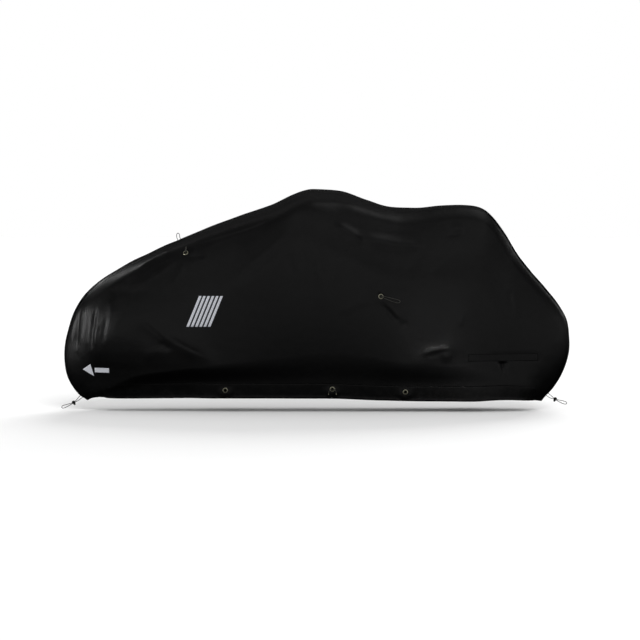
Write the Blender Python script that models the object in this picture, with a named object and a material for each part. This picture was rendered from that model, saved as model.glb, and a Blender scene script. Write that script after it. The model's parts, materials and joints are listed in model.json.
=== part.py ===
# A long fitted cloth cover: two side panels sewn to a narrow spine strip, a drawcord channel
# along each hem, eyelets, cord loops and a low rear flap.
# Metres, +Z up. The front is at -X and the left side at -Y. The tables give heights above the
# ground; the origin is the point under the crest that holds the cover up.

import math
from collections import namedtuple

import bmesh
import bpy
import numpy as np
from mathutils import Matrix, Vector

CLOTH = 0.002  # coated cloth with its seams, as one sheet
GAP = 0.0003  # between pieces that touch
CREST_HEIGHT = 1.071  # outer face of the cloth at its highest point
HOLD_HEIGHT = CREST_HEIGHT - CLOTH  # the origin, on the cloth's inner face
CHANNEL_HEIGHT = 0.075  # the hem channel, where the sides are long enough
CHANNEL_FLARE = 0.15  # share of the tuck's extra width left at the channel's upper edge
FOLD_FADE = 0.05  # folds die out over this distance from a seam
STATIONS = 60  # columns of points from the front hem to the rear hem
LINE_POINTS = 400  # fine points down one section
NORMAL_STEP = 0.002  # how far to each side a normal is measured
CLOTH_CREASE = math.radians(50)  # sharper edges than this aren't shaded smooth
TURNED_CREASE = math.radians(35)
LEFT, RIGHT = -1, 1

# The outline in side view: the middle line of the spine strip, front hem to rear hem.
OutlinePoint = namedtuple("OutlinePoint", "x height")
OUTLINE = [
    OutlinePoint(-1.108, 0.058),
    OutlinePoint(-1.143, 0.078),
    OutlinePoint(-1.181, 0.124),
    OutlinePoint(-1.206, 0.178),
    OutlinePoint(-1.216, 0.248),
    OutlinePoint(-1.213, 0.318),
    OutlinePoint(-1.197, 0.392),
    OutlinePoint(-1.172, 0.468),
    OutlinePoint(-1.137, 0.534),
    OutlinePoint(-1.088, 0.589),
    OutlinePoint(-1.004, 0.654),
    OutlinePoint(-0.888, 0.721),
    OutlinePoint(-0.713, 0.804),
    OutlinePoint(-0.538, 0.877),
    OutlinePoint(-0.364, 0.943),
    OutlinePoint(-0.215, 0.994),
    OutlinePoint(-0.110, 1.044),
    OutlinePoint(-0.044, 1.067),
    OutlinePoint(0.010, 1.071),
    OutlinePoint(0.131, 1.061),
    OutlinePoint(0.247, 1.020),
    OutlinePoint(0.350, 0.988),
    OutlinePoint(0.480, 0.981),
    OutlinePoint(0.597, 0.990),
    OutlinePoint(0.713, 0.995),
    OutlinePoint(0.800, 0.981),
    OutlinePoint(0.860, 0.937),
    OutlinePoint(0.917, 0.861),
    OutlinePoint(0.977, 0.762),
    OutlinePoint(1.040, 0.682),
    OutlinePoint(1.120, 0.589),
    OutlinePoint(1.180, 0.514),
    OutlinePoint(1.221, 0.436),
    OutlinePoint(1.234, 0.340),
    OutlinePoint(1.227, 0.262),
    OutlinePoint(1.203, 0.188),
    OutlinePoint(1.161, 0.120),
    OutlinePoint(1.118, 0.074),
    OutlinePoint(1.102, 0.056),
]

# The hem's lower edge in side view.
HEM_LINE = [
    OutlinePoint(-1.110, 0.050),
    OutlinePoint(-1.030, 0.056),
    OutlinePoint(-0.790, 0.063),
    OutlinePoint(-0.400, 0.068),
    OutlinePoint(0.060, 0.067),
    OutlinePoint(0.310, 0.058),
    OutlinePoint(0.560, 0.053),
    OutlinePoint(0.740, 0.053),
    OutlinePoint(0.900, 0.060),
    OutlinePoint(1.000, 0.058),
    OutlinePoint(1.110, 0.045),
]

# One row for each section that sets the width. "at" is the share of the outline's length from the
# front, and hem_x is where the section's line in side view meets the hem. Along that line, at the
# given shares of its length, the half widths are those of the seam with the spine strip, the
# shoulder, the belly, the tuck above the hem channel, and the hem.
Section = namedtuple(
    "Section",
    "at hem_x seam_at seam shoulder_at shoulder belly_at belly tuck_at tuck hem",
)
SECTIONS = [
    Section(0.000, -1.100, 0.10, 0.046, 0.30, 0.050, 0.50, 0.055, 0.80, 0.060, 0.064),
    Section(0.060, -1.010, 0.050, 0.052, 0.18, 0.084, 0.55, 0.122, 0.85, 0.142, 0.142),
    Section(0.125, -0.900, 0.036, 0.058, 0.13, 0.102, 0.50, 0.174, 0.82, 0.186, 0.172),
    Section(0.190, -0.790, 0.030, 0.064, 0.10, 0.124, 0.46, 0.226, 0.80, 0.224, 0.190),
    Section(0.270, -0.610, 0.024, 0.070, 0.062, 0.156, 0.44, 0.262, 0.80, 0.258, 0.208),
    Section(0.365, -0.320, 0.022, 0.074, 0.060, 0.190, 0.40, 0.292, 0.79, 0.272, 0.214),
    Section(0.460, 0.000, 0.018, 0.078, 0.075, 0.280, 0.27, 0.330, 0.78, 0.272, 0.214),
    Section(0.520, 0.200, 0.018, 0.074, 0.080, 0.214, 0.34, 0.308, 0.78, 0.266, 0.210),
    Section(0.600, 0.470, 0.018, 0.070, 0.085, 0.156, 0.42, 0.256, 0.80, 0.248, 0.204),
    Section(0.680, 0.700, 0.018, 0.066, 0.075, 0.120, 0.46, 0.214, 0.82, 0.212, 0.194),
    Section(0.760, 0.830, 0.022, 0.064, 0.10, 0.112, 0.50, 0.182, 0.84, 0.186, 0.182),
    Section(0.830, 0.920, 0.030, 0.062, 0.13, 0.104, 0.52, 0.152, 0.84, 0.162, 0.160),
    Section(0.910, 1.010, 0.045, 0.056, 0.18, 0.086, 0.55, 0.116, 0.85, 0.130, 0.132),
    Section(1.000, 1.094, 0.10, 0.046, 0.30, 0.050, 0.50, 0.055, 0.80, 0.060, 0.064),
]

# The main folds of the left side, each along a straight line in side view. A ridge has a positive
# rise and a trough a negative one; reach is how far the fold spreads to each side of its line.
Fold = namedtuple("Fold", "x1 height1 x2 height2 reach rise")
LEFT_FOLDS = [
    Fold(-0.825, 0.452, -0.500, 0.245, 0.050, 0.014),  # long slanting ridge on the front
    Fold(-0.790, 0.370, -0.600, 0.255, 0.045, -0.010),  # its lower trough
    Fold(-0.380, 0.630, -0.140, 0.850, 0.055, 0.010),  # slanting ridge under the front slope
    Fold(-0.120, 0.780, -0.100, 0.600, 0.045, -0.010),  # hanging folds below the crest
    Fold(0.025, 0.820, 0.030, 0.560, 0.045, 0.011),
    Fold(0.320, 0.515, 0.415, 0.420, 0.045, -0.012),  # pulled crease below the middle eyelet
    Fold(0.500, 0.260, 0.640, 0.310, 0.045, 0.012),  # small ridge low in the middle
    Fold(0.640, 0.870, 0.720, 0.840, 0.050, -0.008),
]
MOUTH = Fold(0.860, 0.222, 0.930, 0.222, 0.036, -0.020)  # the panel sinks below the rear flap

# Eyelets: place on the side in side view, and which piece of cloth holds it.
Eyelet = namedtuple("Eyelet", "name side x height cloth")
EYELETS = [
    Eyelet("eyelet_hem_left_front", LEFT, -0.428, 0.108, "hem_left"),
    Eyelet("eyelet_hem_left_mid", LEFT, 0.083, 0.113, "hem_left"),
    Eyelet("eyelet_hem_left_rear", LEFT, 0.432, 0.099, "hem_left"),
    Eyelet("eyelet_hem_right_front", RIGHT, -0.428, 0.108, "hem_right"),
    Eyelet("eyelet_hem_right_mid", RIGHT, 0.083, 0.113, "hem_right"),
    Eyelet("eyelet_hem_right_rear", RIGHT, 0.432, 0.099, "hem_right"),
    Eyelet("eyelet_upper_front", LEFT, -0.617, 0.764, "side_panel_left"),
    Eyelet("eyelet_middle", LEFT, 0.313, 0.558, "side_panel_left"),
]
EYELET_RADIUS = 0.0125  # outside of the flange
BORE_RADIUS = 0.0050
BARREL_WALL = 0.0007
FLANGE = 0.0010
RIM_ROUNDING = 0.0004
HOLE_RADIUS = BORE_RADIUS + BARREL_WALL + GAP
EYELET_SEGMENTS = 16
SEAT = 0.018  # half the flat square of cloth around an eyelet
CUTTER_DEPTH = 0.012  # reaches past both faces of the cloth

# Rows of points down each piece, as shares of its length there.
LEFT_ROWS = [0, 0.025, 0.06, 0.11, 0.18, 0.26, 0.35, 0.44, 0.53, 0.62, 0.70, 0.78, 0.84, 0.89, 0.945, 1]
RIGHT_ROWS = [0, 0.03, 0.09, 0.20, 0.36, 0.56, 0.78, 1]
EYELET_RISE = 0.044  # of most eyelets above the hem
EYELET_SHARE = 1 - EYELET_RISE / CHANNEL_HEIGHT
HEM_ROWS = [0, EYELET_SHARE - SEAT / CHANNEL_HEIGHT, EYELET_SHARE + SEAT / CHANNEL_HEIGHT, 1]

FLAP_X = (0.731, 1.072)
FLAP_HEIGHT = (0.245, 0.281)
FLAP_CLOTH = 0.0016
FLAP_GAP = 0.0006  # wider than GAP, for the panel's facets stand a little proud

CORD_RADIUS = 0.0015


# --- shape of the cloth -------------------------------------------------------------------------


def smooth_values(knots, values, wanted):
    """Values of a smooth curve through the given ones, without overshoot between them."""
    knots = np.asarray(knots, float)
    values = np.asarray(values, float)
    wanted = np.atleast_1d(np.asarray(wanted, float))
    steps = np.diff(knots)
    slopes = np.diff(values) / steps
    before, after = slopes[:-1], slopes[1:]
    same_sign = before * after > 0
    tangents = np.zeros(len(knots))
    harmonic = 2 * before * after / np.where(same_sign, before + after, 1)
    tangents[1:-1] = np.where(same_sign, harmonic, 0)
    tangents[0], tangents[-1] = slopes[0], slopes[-1]
    cell = np.clip(np.searchsorted(knots, wanted, side="right") - 1, 0, len(steps) - 1)
    width = steps[cell]
    t = (wanted - knots[cell]) / width
    low, high = values[cell], values[cell + 1]
    rise_low, rise_high = tangents[cell] * width, tangents[cell + 1] * width
    return (
        low * (1 + 2 * t) * (1 - t) ** 2
        + rise_low * t * (1 - t) ** 2
        + high * t * t * (3 - 2 * t)
        + rise_high * t * t * (t - 1)
    )


def chords(points):
    """Distance along a chain of points, from its first."""
    lengths = np.linalg.norm(np.diff(points, axis=0), axis=1)
    return np.concatenate([[0], np.cumsum(lengths)])


OUTLINE_POINTS = np.array(OUTLINE)
OUTLINE_AT = chords(OUTLINE_POINTS) / chords(OUTLINE_POINTS)[-1]
HEM_POINTS = np.array(HEM_LINE)
SECTION_COLUMNS = {name: [getattr(row, name) for row in SECTIONS] for name in Section._fields}


def section_value(name, at):
    return float(smooth_values(SECTION_COLUMNS["at"], SECTION_COLUMNS[name], at)[0])


def hem_place(at):
    """Where a section meets the hem in side view."""
    x = section_value("hem_x", at)
    return np.array([x, smooth_values(HEM_POINTS[:, 0], HEM_POINTS[:, 1], x)[0]])


def spline(points, count):
    """Points at even distances on a smooth curve through the given ones."""
    points = np.asarray(points, float)
    extended = np.vstack([2 * points[0] - points[1], points, 2 * points[-1] - points[-2]])
    fine = []
    for a, b, c, d in zip(extended, extended[1:], extended[2:], extended[3:]):
        for t in np.linspace(0, 1, 24, endpoint=False):
            fine.append(
                0.5
                * (
                    2 * b
                    + (c - a) * t
                    + (2 * a - 5 * b + 4 * c - d) * t**2
                    + (3 * b - 3 * c + d - a) * t**3
                )
            )
    fine = np.array(fine + [points[-1]])
    along = chords(fine)
    even = np.linspace(0, along[-1], count)
    return np.column_stack([np.interp(even, along, fine[:, k]) for k in range(fine.shape[1])])


OUTLINE_FINE = spline(OUTLINE_POINTS, 2000)


def fold_relief(x, height, folds):
    """How far the folds lift the cloth at a place in side view."""
    lift = 0.0
    for fold in folds:
        start = np.array([fold.x1, fold.height1])
        run = np.array([fold.x2, fold.height2]) - start
        along = np.dot([x, height] - start, run) / np.dot(run, run)
        nearest = start + run * min(max(along, 0.0), 1.0)
        away = math.dist((x, height), nearest) / fold.reach
        lift += fold.rise * math.exp(-away * away)
    return lift


def section_line(at, side):
    """Outer face of one side at a share of the outline: fine points from the spine's middle line
    down to the hem."""
    head = np.array(
        [np.interp(at, np.linspace(0, 1, len(OUTLINE_FINE)), OUTLINE_FINE[:, k]) for k in (0, 1)]
    )
    foot = hem_place(at)
    length = math.dist(head, foot)
    shares = [0.0] + [section_value(n, at) for n in ("seam_at", "shoulder_at", "belly_at", "tuck_at")]
    halves = [0.0] + [section_value(n, at) for n in ("seam", "shoulder", "belly", "tuck")]
    channel = min(CHANNEL_HEIGHT / length, 0.5 * (1 - shares[-1]))
    hem = section_value("hem", at)
    shares += [1 - channel, 1.0]
    halves += [hem + CHANNEL_FLARE * (halves[-1] - hem), hem]
    mirrored = np.array([[shares[1], -halves[1]]])
    knots = np.vstack([mirrored, np.column_stack([shares, halves])])
    along = chords(knots * [length, 1.0])
    wanted = np.linspace(along[1], along[-1], LINE_POINTS)
    drop = smooth_values(along, knots[:, 0], wanted)
    half = smooth_values(along, knots[:, 1], wanted)
    flat = head + np.outer(drop, foot - head)
    return np.column_stack([flat[:, 0], side * half, flat[:, 1]])


class Side:
    """Outer face of one side of the cover, as points and outward normals on a grid of stations."""

    def __init__(self, side, folds):
        self.side = side
        self.folds = folds
        self.at = np.linspace(0, 1, STATIONS)
        self.lines = {}

    def line(self, at):
        at = min(max(at, 0.0), 1.0)
        if at not in self.lines:
            points = section_line(at, self.side)
            self.lines[at] = (points, chords(points))
        return self.lines[at]

    def seam_length(self, at):
        points, along = self.line(at)
        return float(np.interp(section_value("seam", at), np.abs(points[:, 1]), along))

    def point(self, at, length):
        points, along = self.line(at)
        return np.array([np.interp(length, along, points[:, k]) for k in range(3)])

    def channel_length(self, at):
        """Width of the hem channel here; it narrows towards both ends of the hem."""
        free = self.line(at)[1][-1] - self.seam_length(at)
        return CHANNEL_HEIGHT * math.tanh(0.5 * free / CHANNEL_HEIGHT)

    def smooth_place(self, at, length):
        """Point and outward normal, without folds."""
        low, high = max(at - NORMAL_STEP, 0.0), min(at + NORMAL_STEP, 1.0)
        total = self.line(at)[1][-1]
        share = length / total
        ahead = self.point(high, share * self.line(high)[1][-1])
        behind = self.point(low, share * self.line(low)[1][-1])
        below = self.point(at, min(length + NORMAL_STEP, total))
        above = self.point(at, max(length - NORMAL_STEP, 0))
        normal = np.cross(ahead - behind, below - above) * self.side
        return self.point(at, length), normal / np.linalg.norm(normal)


def seam_fade(side_shape, at, length):
    """Folds die out at the seam and at the hem channel, where neighbouring pieces meet."""
    seam = side_shape.seam_length(at)
    total = side_shape.line(at)[1][-1]
    channel = total - side_shape.channel_length(at)
    room = min(length - seam, channel - length)
    return min(max(room / FOLD_FADE, 0.0), 1.0)


def grid_between(shape, start_of, end_of, shares):
    """Places on every station, at the given shares of the way between two lengths."""
    grid = []
    for at in shape.at:
        start, end = start_of(at), end_of(at)
        column = []
        for share in shares:
            length = start + (end - start) * share
            point, normal = shape.smooth_place(at, length)
            lift = fold_relief(point[0], point[2], shape.folds) * seam_fade(shape, at, length)
            column.append((point + normal * lift, normal))
        grid.append(column)
    return grid


# --- building blocks ----------------------------------------------------------------------------


def clear_scene():
    for old in list(bpy.data.objects):
        bpy.data.objects.remove(old, do_unlink=True)


def make_material(name, colour, roughness, metallic=0.0):
    material = bpy.data.materials.new(name)
    material.use_nodes = True
    shader = material.node_tree.nodes["Principled BSDF"]
    shader.inputs["Base Color"].default_value = (*colour, 1.0)
    shader.inputs["Roughness"].default_value = roughness
    shader.inputs["Metallic"].default_value = metallic
    material.diffuse_color = (*colour, 1.0)
    return material


def to_frame(point):
    """From x, y and height above the ground to the part's frame."""
    return Vector((point[0], point[1], point[2] - HOLD_HEIGHT))


def add_object(name, mesh, material):
    mesh.materials.append(material)
    made = bpy.data.objects.new(name, mesh)
    bpy.context.scene.collection.objects.link(made)
    return made


def finish_mesh(name, bm, material, crease_angle=CLOTH_CREASE):
    bmesh.ops.recalc_face_normals(bm, faces=bm.faces)
    mesh = bpy.data.meshes.new(name)
    bm.to_mesh(mesh)
    bm.free()
    mesh.shade_smooth()
    mesh.set_sharp_from_angle(angle=crease_angle)
    return add_object(name, mesh, material)


def cloth_sheet(name, grid, thickness, material):
    """A closed sheet whose outer face runs through the grid's points."""
    columns, rows = len(grid), len(grid[0])
    bm = bmesh.new()
    bmesh.ops.create_grid(bm, x_segments=columns - 1, y_segments=rows - 1, size=0.5)
    lifted = bmesh.ops.extrude_face_region(bm, geom=bm.faces[:])
    outer = {item for item in lifted["geom"] if isinstance(item, bmesh.types.BMVert)}
    for vertex in bm.verts:
        column = round((vertex.co.x + 0.5) * (columns - 1))
        row = round((vertex.co.y + 0.5) * (rows - 1))
        point, normal = grid[column][row]
        depth = 0.0 if vertex in outer else thickness
        vertex.co = to_frame(point - normal * depth)
    bmesh.ops.triangulate(bm, faces=bm.faces[:], quad_method="SHORT_EDGE")
    return finish_mesh(name, bm, material)


# --- eyelets ------------------------------------------------------------------------------------


def nearest_cell(grid, target):
    """Column and row of the grid cell whose middle lies nearest the target in side view."""
    best = None
    for column in range(len(grid) - 1):
        for row in range(len(grid[0]) - 1):
            corners = [grid[column + i][row + j][0] for i in (0, 1) for j in (0, 1)]
            middle = sum(corners) / 4
            away = math.dist((middle[0], middle[2]), target)
            if best is None or away < best[0]:
                best = (away, column, row)
    return best[1:]


def side_place(shape, x, height):
    """Point and normal of the smooth side at a place in side view, found by stepping towards it."""
    at, share = 0.5, 0.5
    for _ in range(60):
        total = shape.line(at)[1][-1]
        point = shape.point(at, share * total)
        at += 0.25 * (x - point[0])
        at = min(max(at, 0.02), 0.98)
        share += 0.6 * (point[2] - height)
        share = min(max(share, 0.01), 0.99)
    return shape.smooth_place(at, share * shape.line(at)[1][-1])


def eyelet_frame(shape, eyelet):
    """Matrix at the outer face of the cloth: Z outwards, X along the cover."""
    point, normal = side_place(shape, eyelet.x, eyelet.height)
    outwards = Vector(normal)
    if eyelet.cloth.startswith("hem"):
        outwards.z = 0.0  # the hem channel hangs straight down here
    outwards.normalize()
    along = (Vector((1, 0, 0)) - outwards * outwards.x).normalized()
    up = outwards.cross(along)
    place = Matrix((along, up, outwards)).transposed().to_4x4()
    place.translation = Vector((eyelet.x, point[1], eyelet.height))
    return place


def flatten_seat(grid, frame):
    """Moves the nearest cell of the grid onto a flat square around the eyelet."""
    centre = frame.translation
    column, row = nearest_cell(grid, (centre.x, centre.z))
    cell = [(i, j) for i in (0, 1) for j in (0, 1)]
    middle = sum(grid[column + i][row + j][0] for i, j in cell) / 4
    outwards = np.array(frame.to_3x3() @ Vector((0, 0, 1)))
    for i, j in cell:
        old = grid[column + i][row + j][0]
        side_x = SEAT if old[0] > middle[0] else -SEAT
        side_z = SEAT if old[2] > middle[2] else -SEAT
        if frame.to_3x3().col[1].z < 0:
            side_z = -side_z
        grid[column + i][row + j] = (np.array(frame @ Vector((side_x, side_z, 0))), outwards)


def eyelet_profile():
    """Half section of the barrel and its two flanges, as radius and height off the outer cloth."""
    top, bottom = GAP, -CLOTH - GAP
    barrel = BORE_RADIUS + BARREL_WALL
    return [
        (BORE_RADIUS, bottom - FLANGE + RIM_ROUNDING),
        (BORE_RADIUS, top + FLANGE - RIM_ROUNDING),
        (BORE_RADIUS + RIM_ROUNDING, top + FLANGE),
        (EYELET_RADIUS - RIM_ROUNDING, top + FLANGE),
        (EYELET_RADIUS, top),
        (barrel, top),
        (barrel, bottom),
        (EYELET_RADIUS, bottom),
        (EYELET_RADIUS - RIM_ROUNDING, bottom - FLANGE),
        (BORE_RADIUS + RIM_ROUNDING, bottom - FLANGE),
    ]


def turned(name, profile, frame, material, segments):
    """A profile of radius and height turned about the frame's Z axis. It closes on itself, or
    starts and ends on the axis."""
    bm = bmesh.new()
    ring = [bm.verts.new((radius, 0, height)) for radius, height in profile]
    edges = [bm.edges.new(pair) for pair in zip(ring, ring[1:])]
    if profile[0][0] > 0:
        edges.append(bm.edges.new((ring[-1], ring[0])))
    bmesh.ops.spin(
        bm,
        geom=ring + edges,
        cent=(0, 0, 0),
        axis=(0, 0, 1),
        angle=2 * math.pi,
        steps=segments,
        use_merge=True,
    )
    bmesh.ops.remove_doubles(bm, verts=bm.verts, dist=1e-6)
    lift = Matrix.Translation((0, 0, -HOLD_HEIGHT))
    bmesh.ops.transform(bm, matrix=lift @ frame, verts=bm.verts)
    return finish_mesh(name, bm, material, TURNED_CREASE)


def pierce(cloth, eyelet_name, frame, material):
    """Cuts an eyelet's hole through its cloth."""
    corner_radius = HOLE_RADIUS / math.cos(math.pi / EYELET_SEGMENTS)
    bm = bmesh.new()
    bmesh.ops.create_cone(
        bm,
        cap_ends=True,
        segments=EYELET_SEGMENTS,
        radius1=corner_radius,
        radius2=corner_radius,
        depth=CUTTER_DEPTH,
    )
    lift = Matrix.Translation((0, 0, -HOLD_HEIGHT))
    turn = Matrix.Rotation(math.pi / (2 * EYELET_SEGMENTS), 4, "Z")  # off the cloth's own edges
    bmesh.ops.transform(bm, matrix=lift @ frame @ turn, verts=bm.verts)
    cutter = finish_mesh("cut_" + eyelet_name, bm, material)
    cutter.hide_render = True
    cutter.display_type = "WIRE"
    hole = cloth.modifiers.new("hole " + eyelet_name, "BOOLEAN")
    hole.operation = "DIFFERENCE"
    hole.solver = "EXACT"
    hole.object = cutter


# --- cords and what is on them ------------------------------------------------------------------

# Routes by hand. Those of the drawcords and the top loop are x, y and height above the ground.
FRONT_DRAWCORD = [
    (-1.1341, -0.006, 0.0763),
    (-1.1500, -0.007, 0.0575),
    (-1.1634, -0.008, 0.0431),
    (-1.1720, -0.008, 0.0380),
    (-1.1806, -0.008, 0.0329),
    (-1.1960, -0.009, 0.0292),
    (-1.2120, -0.010, 0.0252),
    (-1.2253, -0.011, 0.0200),
    (-1.2285, -0.011, 0.0122),
    (-1.2207, -0.011, 0.0090),
    (-1.2050, -0.010, 0.0152),
    (-1.1910, -0.009, 0.0228),
    (-1.1786, -0.008, 0.0297),
    (-1.1700, -0.008, 0.0348),
    (-1.1614, -0.008, 0.0399),
    (-1.1460, -0.007, 0.0480),
    (-1.1217, -0.006, 0.0670),
]
REAR_DRAWCORD = [
    (1.1286, -0.006, 0.0834),
    (1.1440, -0.007, 0.0712),
    (1.1585, -0.008, 0.0589),
    (1.1664, -0.008, 0.0547),
    (1.1743, -0.008, 0.0505),
    (1.1880, -0.009, 0.0475),
    (1.2030, -0.010, 0.0445),
    (1.2177, -0.011, 0.0396),
    (1.2212, -0.011, 0.0319),
    (1.2135, -0.011, 0.0284),
    (1.1990, -0.010, 0.0330),
    (1.1850, -0.009, 0.0395),
    (1.1725, -0.008, 0.0471),
    (1.1646, -0.008, 0.0513),
    (1.1567, -0.008, 0.0555),
    (1.1400, -0.007, 0.0590),
    (1.1188, -0.006, 0.0729),
]
TOP_LOOP = [
    (-0.6652, 0.012, 0.8230),
    (-0.6690, 0.012, 0.8330),
    (-0.6712, 0.013, 0.8439),
    (-0.6693, 0.013, 0.8541),
    (-0.6640, 0.013, 0.8575),
    (-0.6581, 0.013, 0.8526),
    (-0.6562, 0.012, 0.8415),
    (-0.6528, 0.012, 0.8283),
]
# Routes through an eyelet are in its own frame: along the cover, up the cloth and outwards.
STRAND_END = -0.0031
UPPER_LOOP = [
    (0.0000, -0.0020, STRAND_END),
    (0.0000, -0.0020, 0.0010),
    (0.0005, -0.0022, 0.0060),
    (0.0018, 0.0030, 0.0125),
    (0.0035, 0.0130, 0.0150),
    (0.0050, 0.0225, 0.0140),
    (0.0058, 0.0285, 0.0100),
    (0.0054, 0.0270, 0.0060),
    (0.0042, 0.0180, 0.0050),
    (0.0026, 0.0090, 0.0056),
    (0.0012, 0.0040, 0.0046),
    (0.0000, 0.0020, 0.0010),
    (0.0000, 0.0020, STRAND_END),
]
MIDDLE_LOOP = [
    (0.0000, 0.0020, STRAND_END),
    (0.0000, 0.0020, 0.0010),
    (0.0040, 0.0018, 0.0048),
    (0.0120, 0.0010, 0.0056),
    (0.0240, -0.0020, 0.0048),
    (0.0430, -0.0062, 0.0034),
    (0.0650, -0.0120, 0.0025),
    (0.0840, -0.0170, 0.0018),
    (0.0930, -0.0230, 0.0013),
    (0.0900, -0.0300, 0.0011),
    (0.0800, -0.0310, 0.0012),
    (0.0640, -0.0270, 0.0018),
    (0.0440, -0.0200, 0.0030),
    (0.0260, -0.0130, 0.0044),
    (0.0120, -0.0060, 0.0056),
    (0.0040, -0.0028, 0.0048),
    (0.0000, -0.0020, 0.0010),
    (0.0000, -0.0020, STRAND_END),
]
HEM_TIE = [
    (-0.0170, -0.0175, 0.0042),
    (-0.0160, -0.0120, 0.0046),
    (-0.0130, -0.0040, 0.0050),
    (-0.0080, 0.0010, 0.0054),
    (-0.0034, 0.0012, 0.0044),
    (-0.0020, 0.0005, -0.0005),
    (-0.0022, 0.0000, -0.0060),
    (-0.0046, 0.0000, -0.0115),
    (-0.0044, 0.0000, -0.0160),
    (0.0000, 0.0000, -0.0185),
    (0.0044, 0.0000, -0.0160),
    (0.0046, 0.0000, -0.0115),
    (0.0022, 0.0000, -0.0060),
    (0.0020, 0.0005, -0.0005),
    (0.0034, 0.0012, 0.0044),
    (0.0080, 0.0010, 0.0054),
    (0.0140, -0.0040, 0.0050),
    (0.0172, -0.0125, 0.0046),
    (0.0182, -0.0190, 0.0042),
]

KNOT_RADIUS = 0.0062
KNOT_DEPTH = 0.0085
KNOT_GAP = 0.0005
TIP_RADIUS = 0.0024
TIP_LENGTH = 0.0080

# A cord lock: place of its bore, and the slope of the cords through it, down from level.
CordLock = namedtuple("CordLock", "name x y height slope towards")
CORD_LOCKS = [
    CordLock("front_cord_lock", -1.1710, -0.008, 0.0364, math.radians(30.7), -1),
    CordLock("rear_cord_lock", 1.1655, -0.008, 0.0530, math.radians(28.1), 1),
]
LOCK_SEGMENTS = 14
STRAND_OFFSET = 0.0019  # from a lock's middle up and down to its two strands
LOCK_BARREL = 0.0070
LOCK_BUTTON = 0.0046
LOCK_PROFILE = [  # radius and height above the bore's middle
    (0.0, -0.0130),
    (LOCK_BUTTON - 0.0008, -0.0130),
    (LOCK_BUTTON, -0.0122),
    (LOCK_BUTTON, -0.0075),
    (LOCK_BARREL - 0.0012, -0.0075),
    (LOCK_BARREL, -0.0063),
    (LOCK_BARREL, 0.0063),
    (LOCK_BARREL - 0.0022, 0.0085),
    (0.0, 0.0085),
]


def in_frame(frame, route):
    return [tuple(frame @ Vector(point)) for point in route]


def cord_tube(name, route, material, radius=CORD_RADIUS):
    """A tube along a smooth curve through the route's points."""
    count = max(6, round(chords(spline(route, 400))[-1] / (4 * radius)))
    points = spline(route, count)
    curve = bpy.data.curves.new(name, "CURVE")
    curve.dimensions = "3D"
    curve.bevel_depth = radius
    curve.bevel_resolution = 2
    curve.use_fill_caps = True
    path = curve.splines.new("POLY")
    path.points.add(len(points) - 1)
    for target, point in zip(path.points, points):
        target.co = (*to_frame(point), 1.0)
    return add_object(name, curve, material)


def rounded_cylinder(name, radius, depth, rounding, frame, material, segments=12):
    """A short cylinder with rounded rims, its middle at the frame's origin."""
    bm = bmesh.new()
    bmesh.ops.create_cone(
        bm, cap_ends=True, segments=segments, radius1=radius, radius2=radius, depth=depth
    )
    rims = [edge for edge in bm.edges if abs(edge.verts[0].co.z - edge.verts[1].co.z) < 1e-6]
    bmesh.ops.bevel(
        bm, geom=rims, offset=rounding, offset_type="OFFSET", segments=2, profile=0.5, affect="EDGES"
    )
    lift = Matrix.Translation((0, 0, -HOLD_HEIGHT))
    bmesh.ops.transform(bm, matrix=lift @ frame, verts=bm.verts)
    return finish_mesh(name, bm, material)


def end_tip(name, end, before, material):
    """A metal tip, whose face meets the cut end of a cord."""
    direction = (Vector(end) - Vector(before)).normalized()
    frame = direction.to_track_quat("Z", "Y").to_matrix().to_4x4()
    frame.translation = Vector(end) + direction * (GAP + TIP_LENGTH / 2)
    return rounded_cylinder(name, TIP_RADIUS, TIP_LENGTH, 0.0006, frame, material, 10)


def cord_lock(lock, material):
    """A turned barrel with its button below, and a slot through which both cords pass."""
    along = Vector((lock.towards * math.cos(lock.slope), 0, -math.sin(lock.slope)))
    up = Vector((lock.towards * math.sin(lock.slope), 0, math.cos(lock.slope)))
    frame = Matrix((along, up.cross(along), up)).transposed().to_4x4()
    frame.translation = Vector((lock.x, lock.y, lock.height))
    made = turned(lock.name, LOCK_PROFILE, frame, material, LOCK_SEGMENTS)

    bm = bmesh.new()
    bmesh.ops.create_cube(bm, size=1.0)
    room = CORD_RADIUS + GAP
    slot = (4 * LOCK_BARREL, 2 * room, 2 * (STRAND_OFFSET + room))
    bmesh.ops.scale(bm, vec=slot, verts=bm.verts)
    lift = Matrix.Translation((0, 0, -HOLD_HEIGHT))
    bmesh.ops.transform(bm, matrix=lift @ frame, verts=bm.verts)
    cutter = finish_mesh("cut_" + lock.name, bm, material)
    cutter.hide_render = True
    cutter.display_type = "WIRE"
    bore = made.modifiers.new("bore", "BOOLEAN")
    bore.operation = "DIFFERENCE"
    bore.solver = "EXACT"
    bore.object = cutter


# --- the cover ----------------------------------------------------------------------------------


def rear_flap(shape, material):
    """A strip sewn along its top and ends; the panel falls away behind its lower edge."""
    grid = []
    for x in np.linspace(*FLAP_X, 15):
        column = []
        for height in np.linspace(FLAP_HEIGHT[1], FLAP_HEIGHT[0], 3):
            point, normal = side_place(shape, x, height)
            column.append((point + normal * (FLAP_GAP + FLAP_CLOTH), normal))
        grid.append(column)
    cloth_sheet("rear_flap", grid, FLAP_CLOTH, material)


def spine_grid(left, right):
    shares = [1.0, 0.5, 0.0]
    grid = []
    for at in left.at:
        reach = left.seam_length(at) - GAP / 2
        column = [left.smooth_place(at, reach * share) for share in shares]
        column += [right.smooth_place(at, reach * share) for share in shares[-2::-1]]
        grid.append(column)
    return grid


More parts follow.
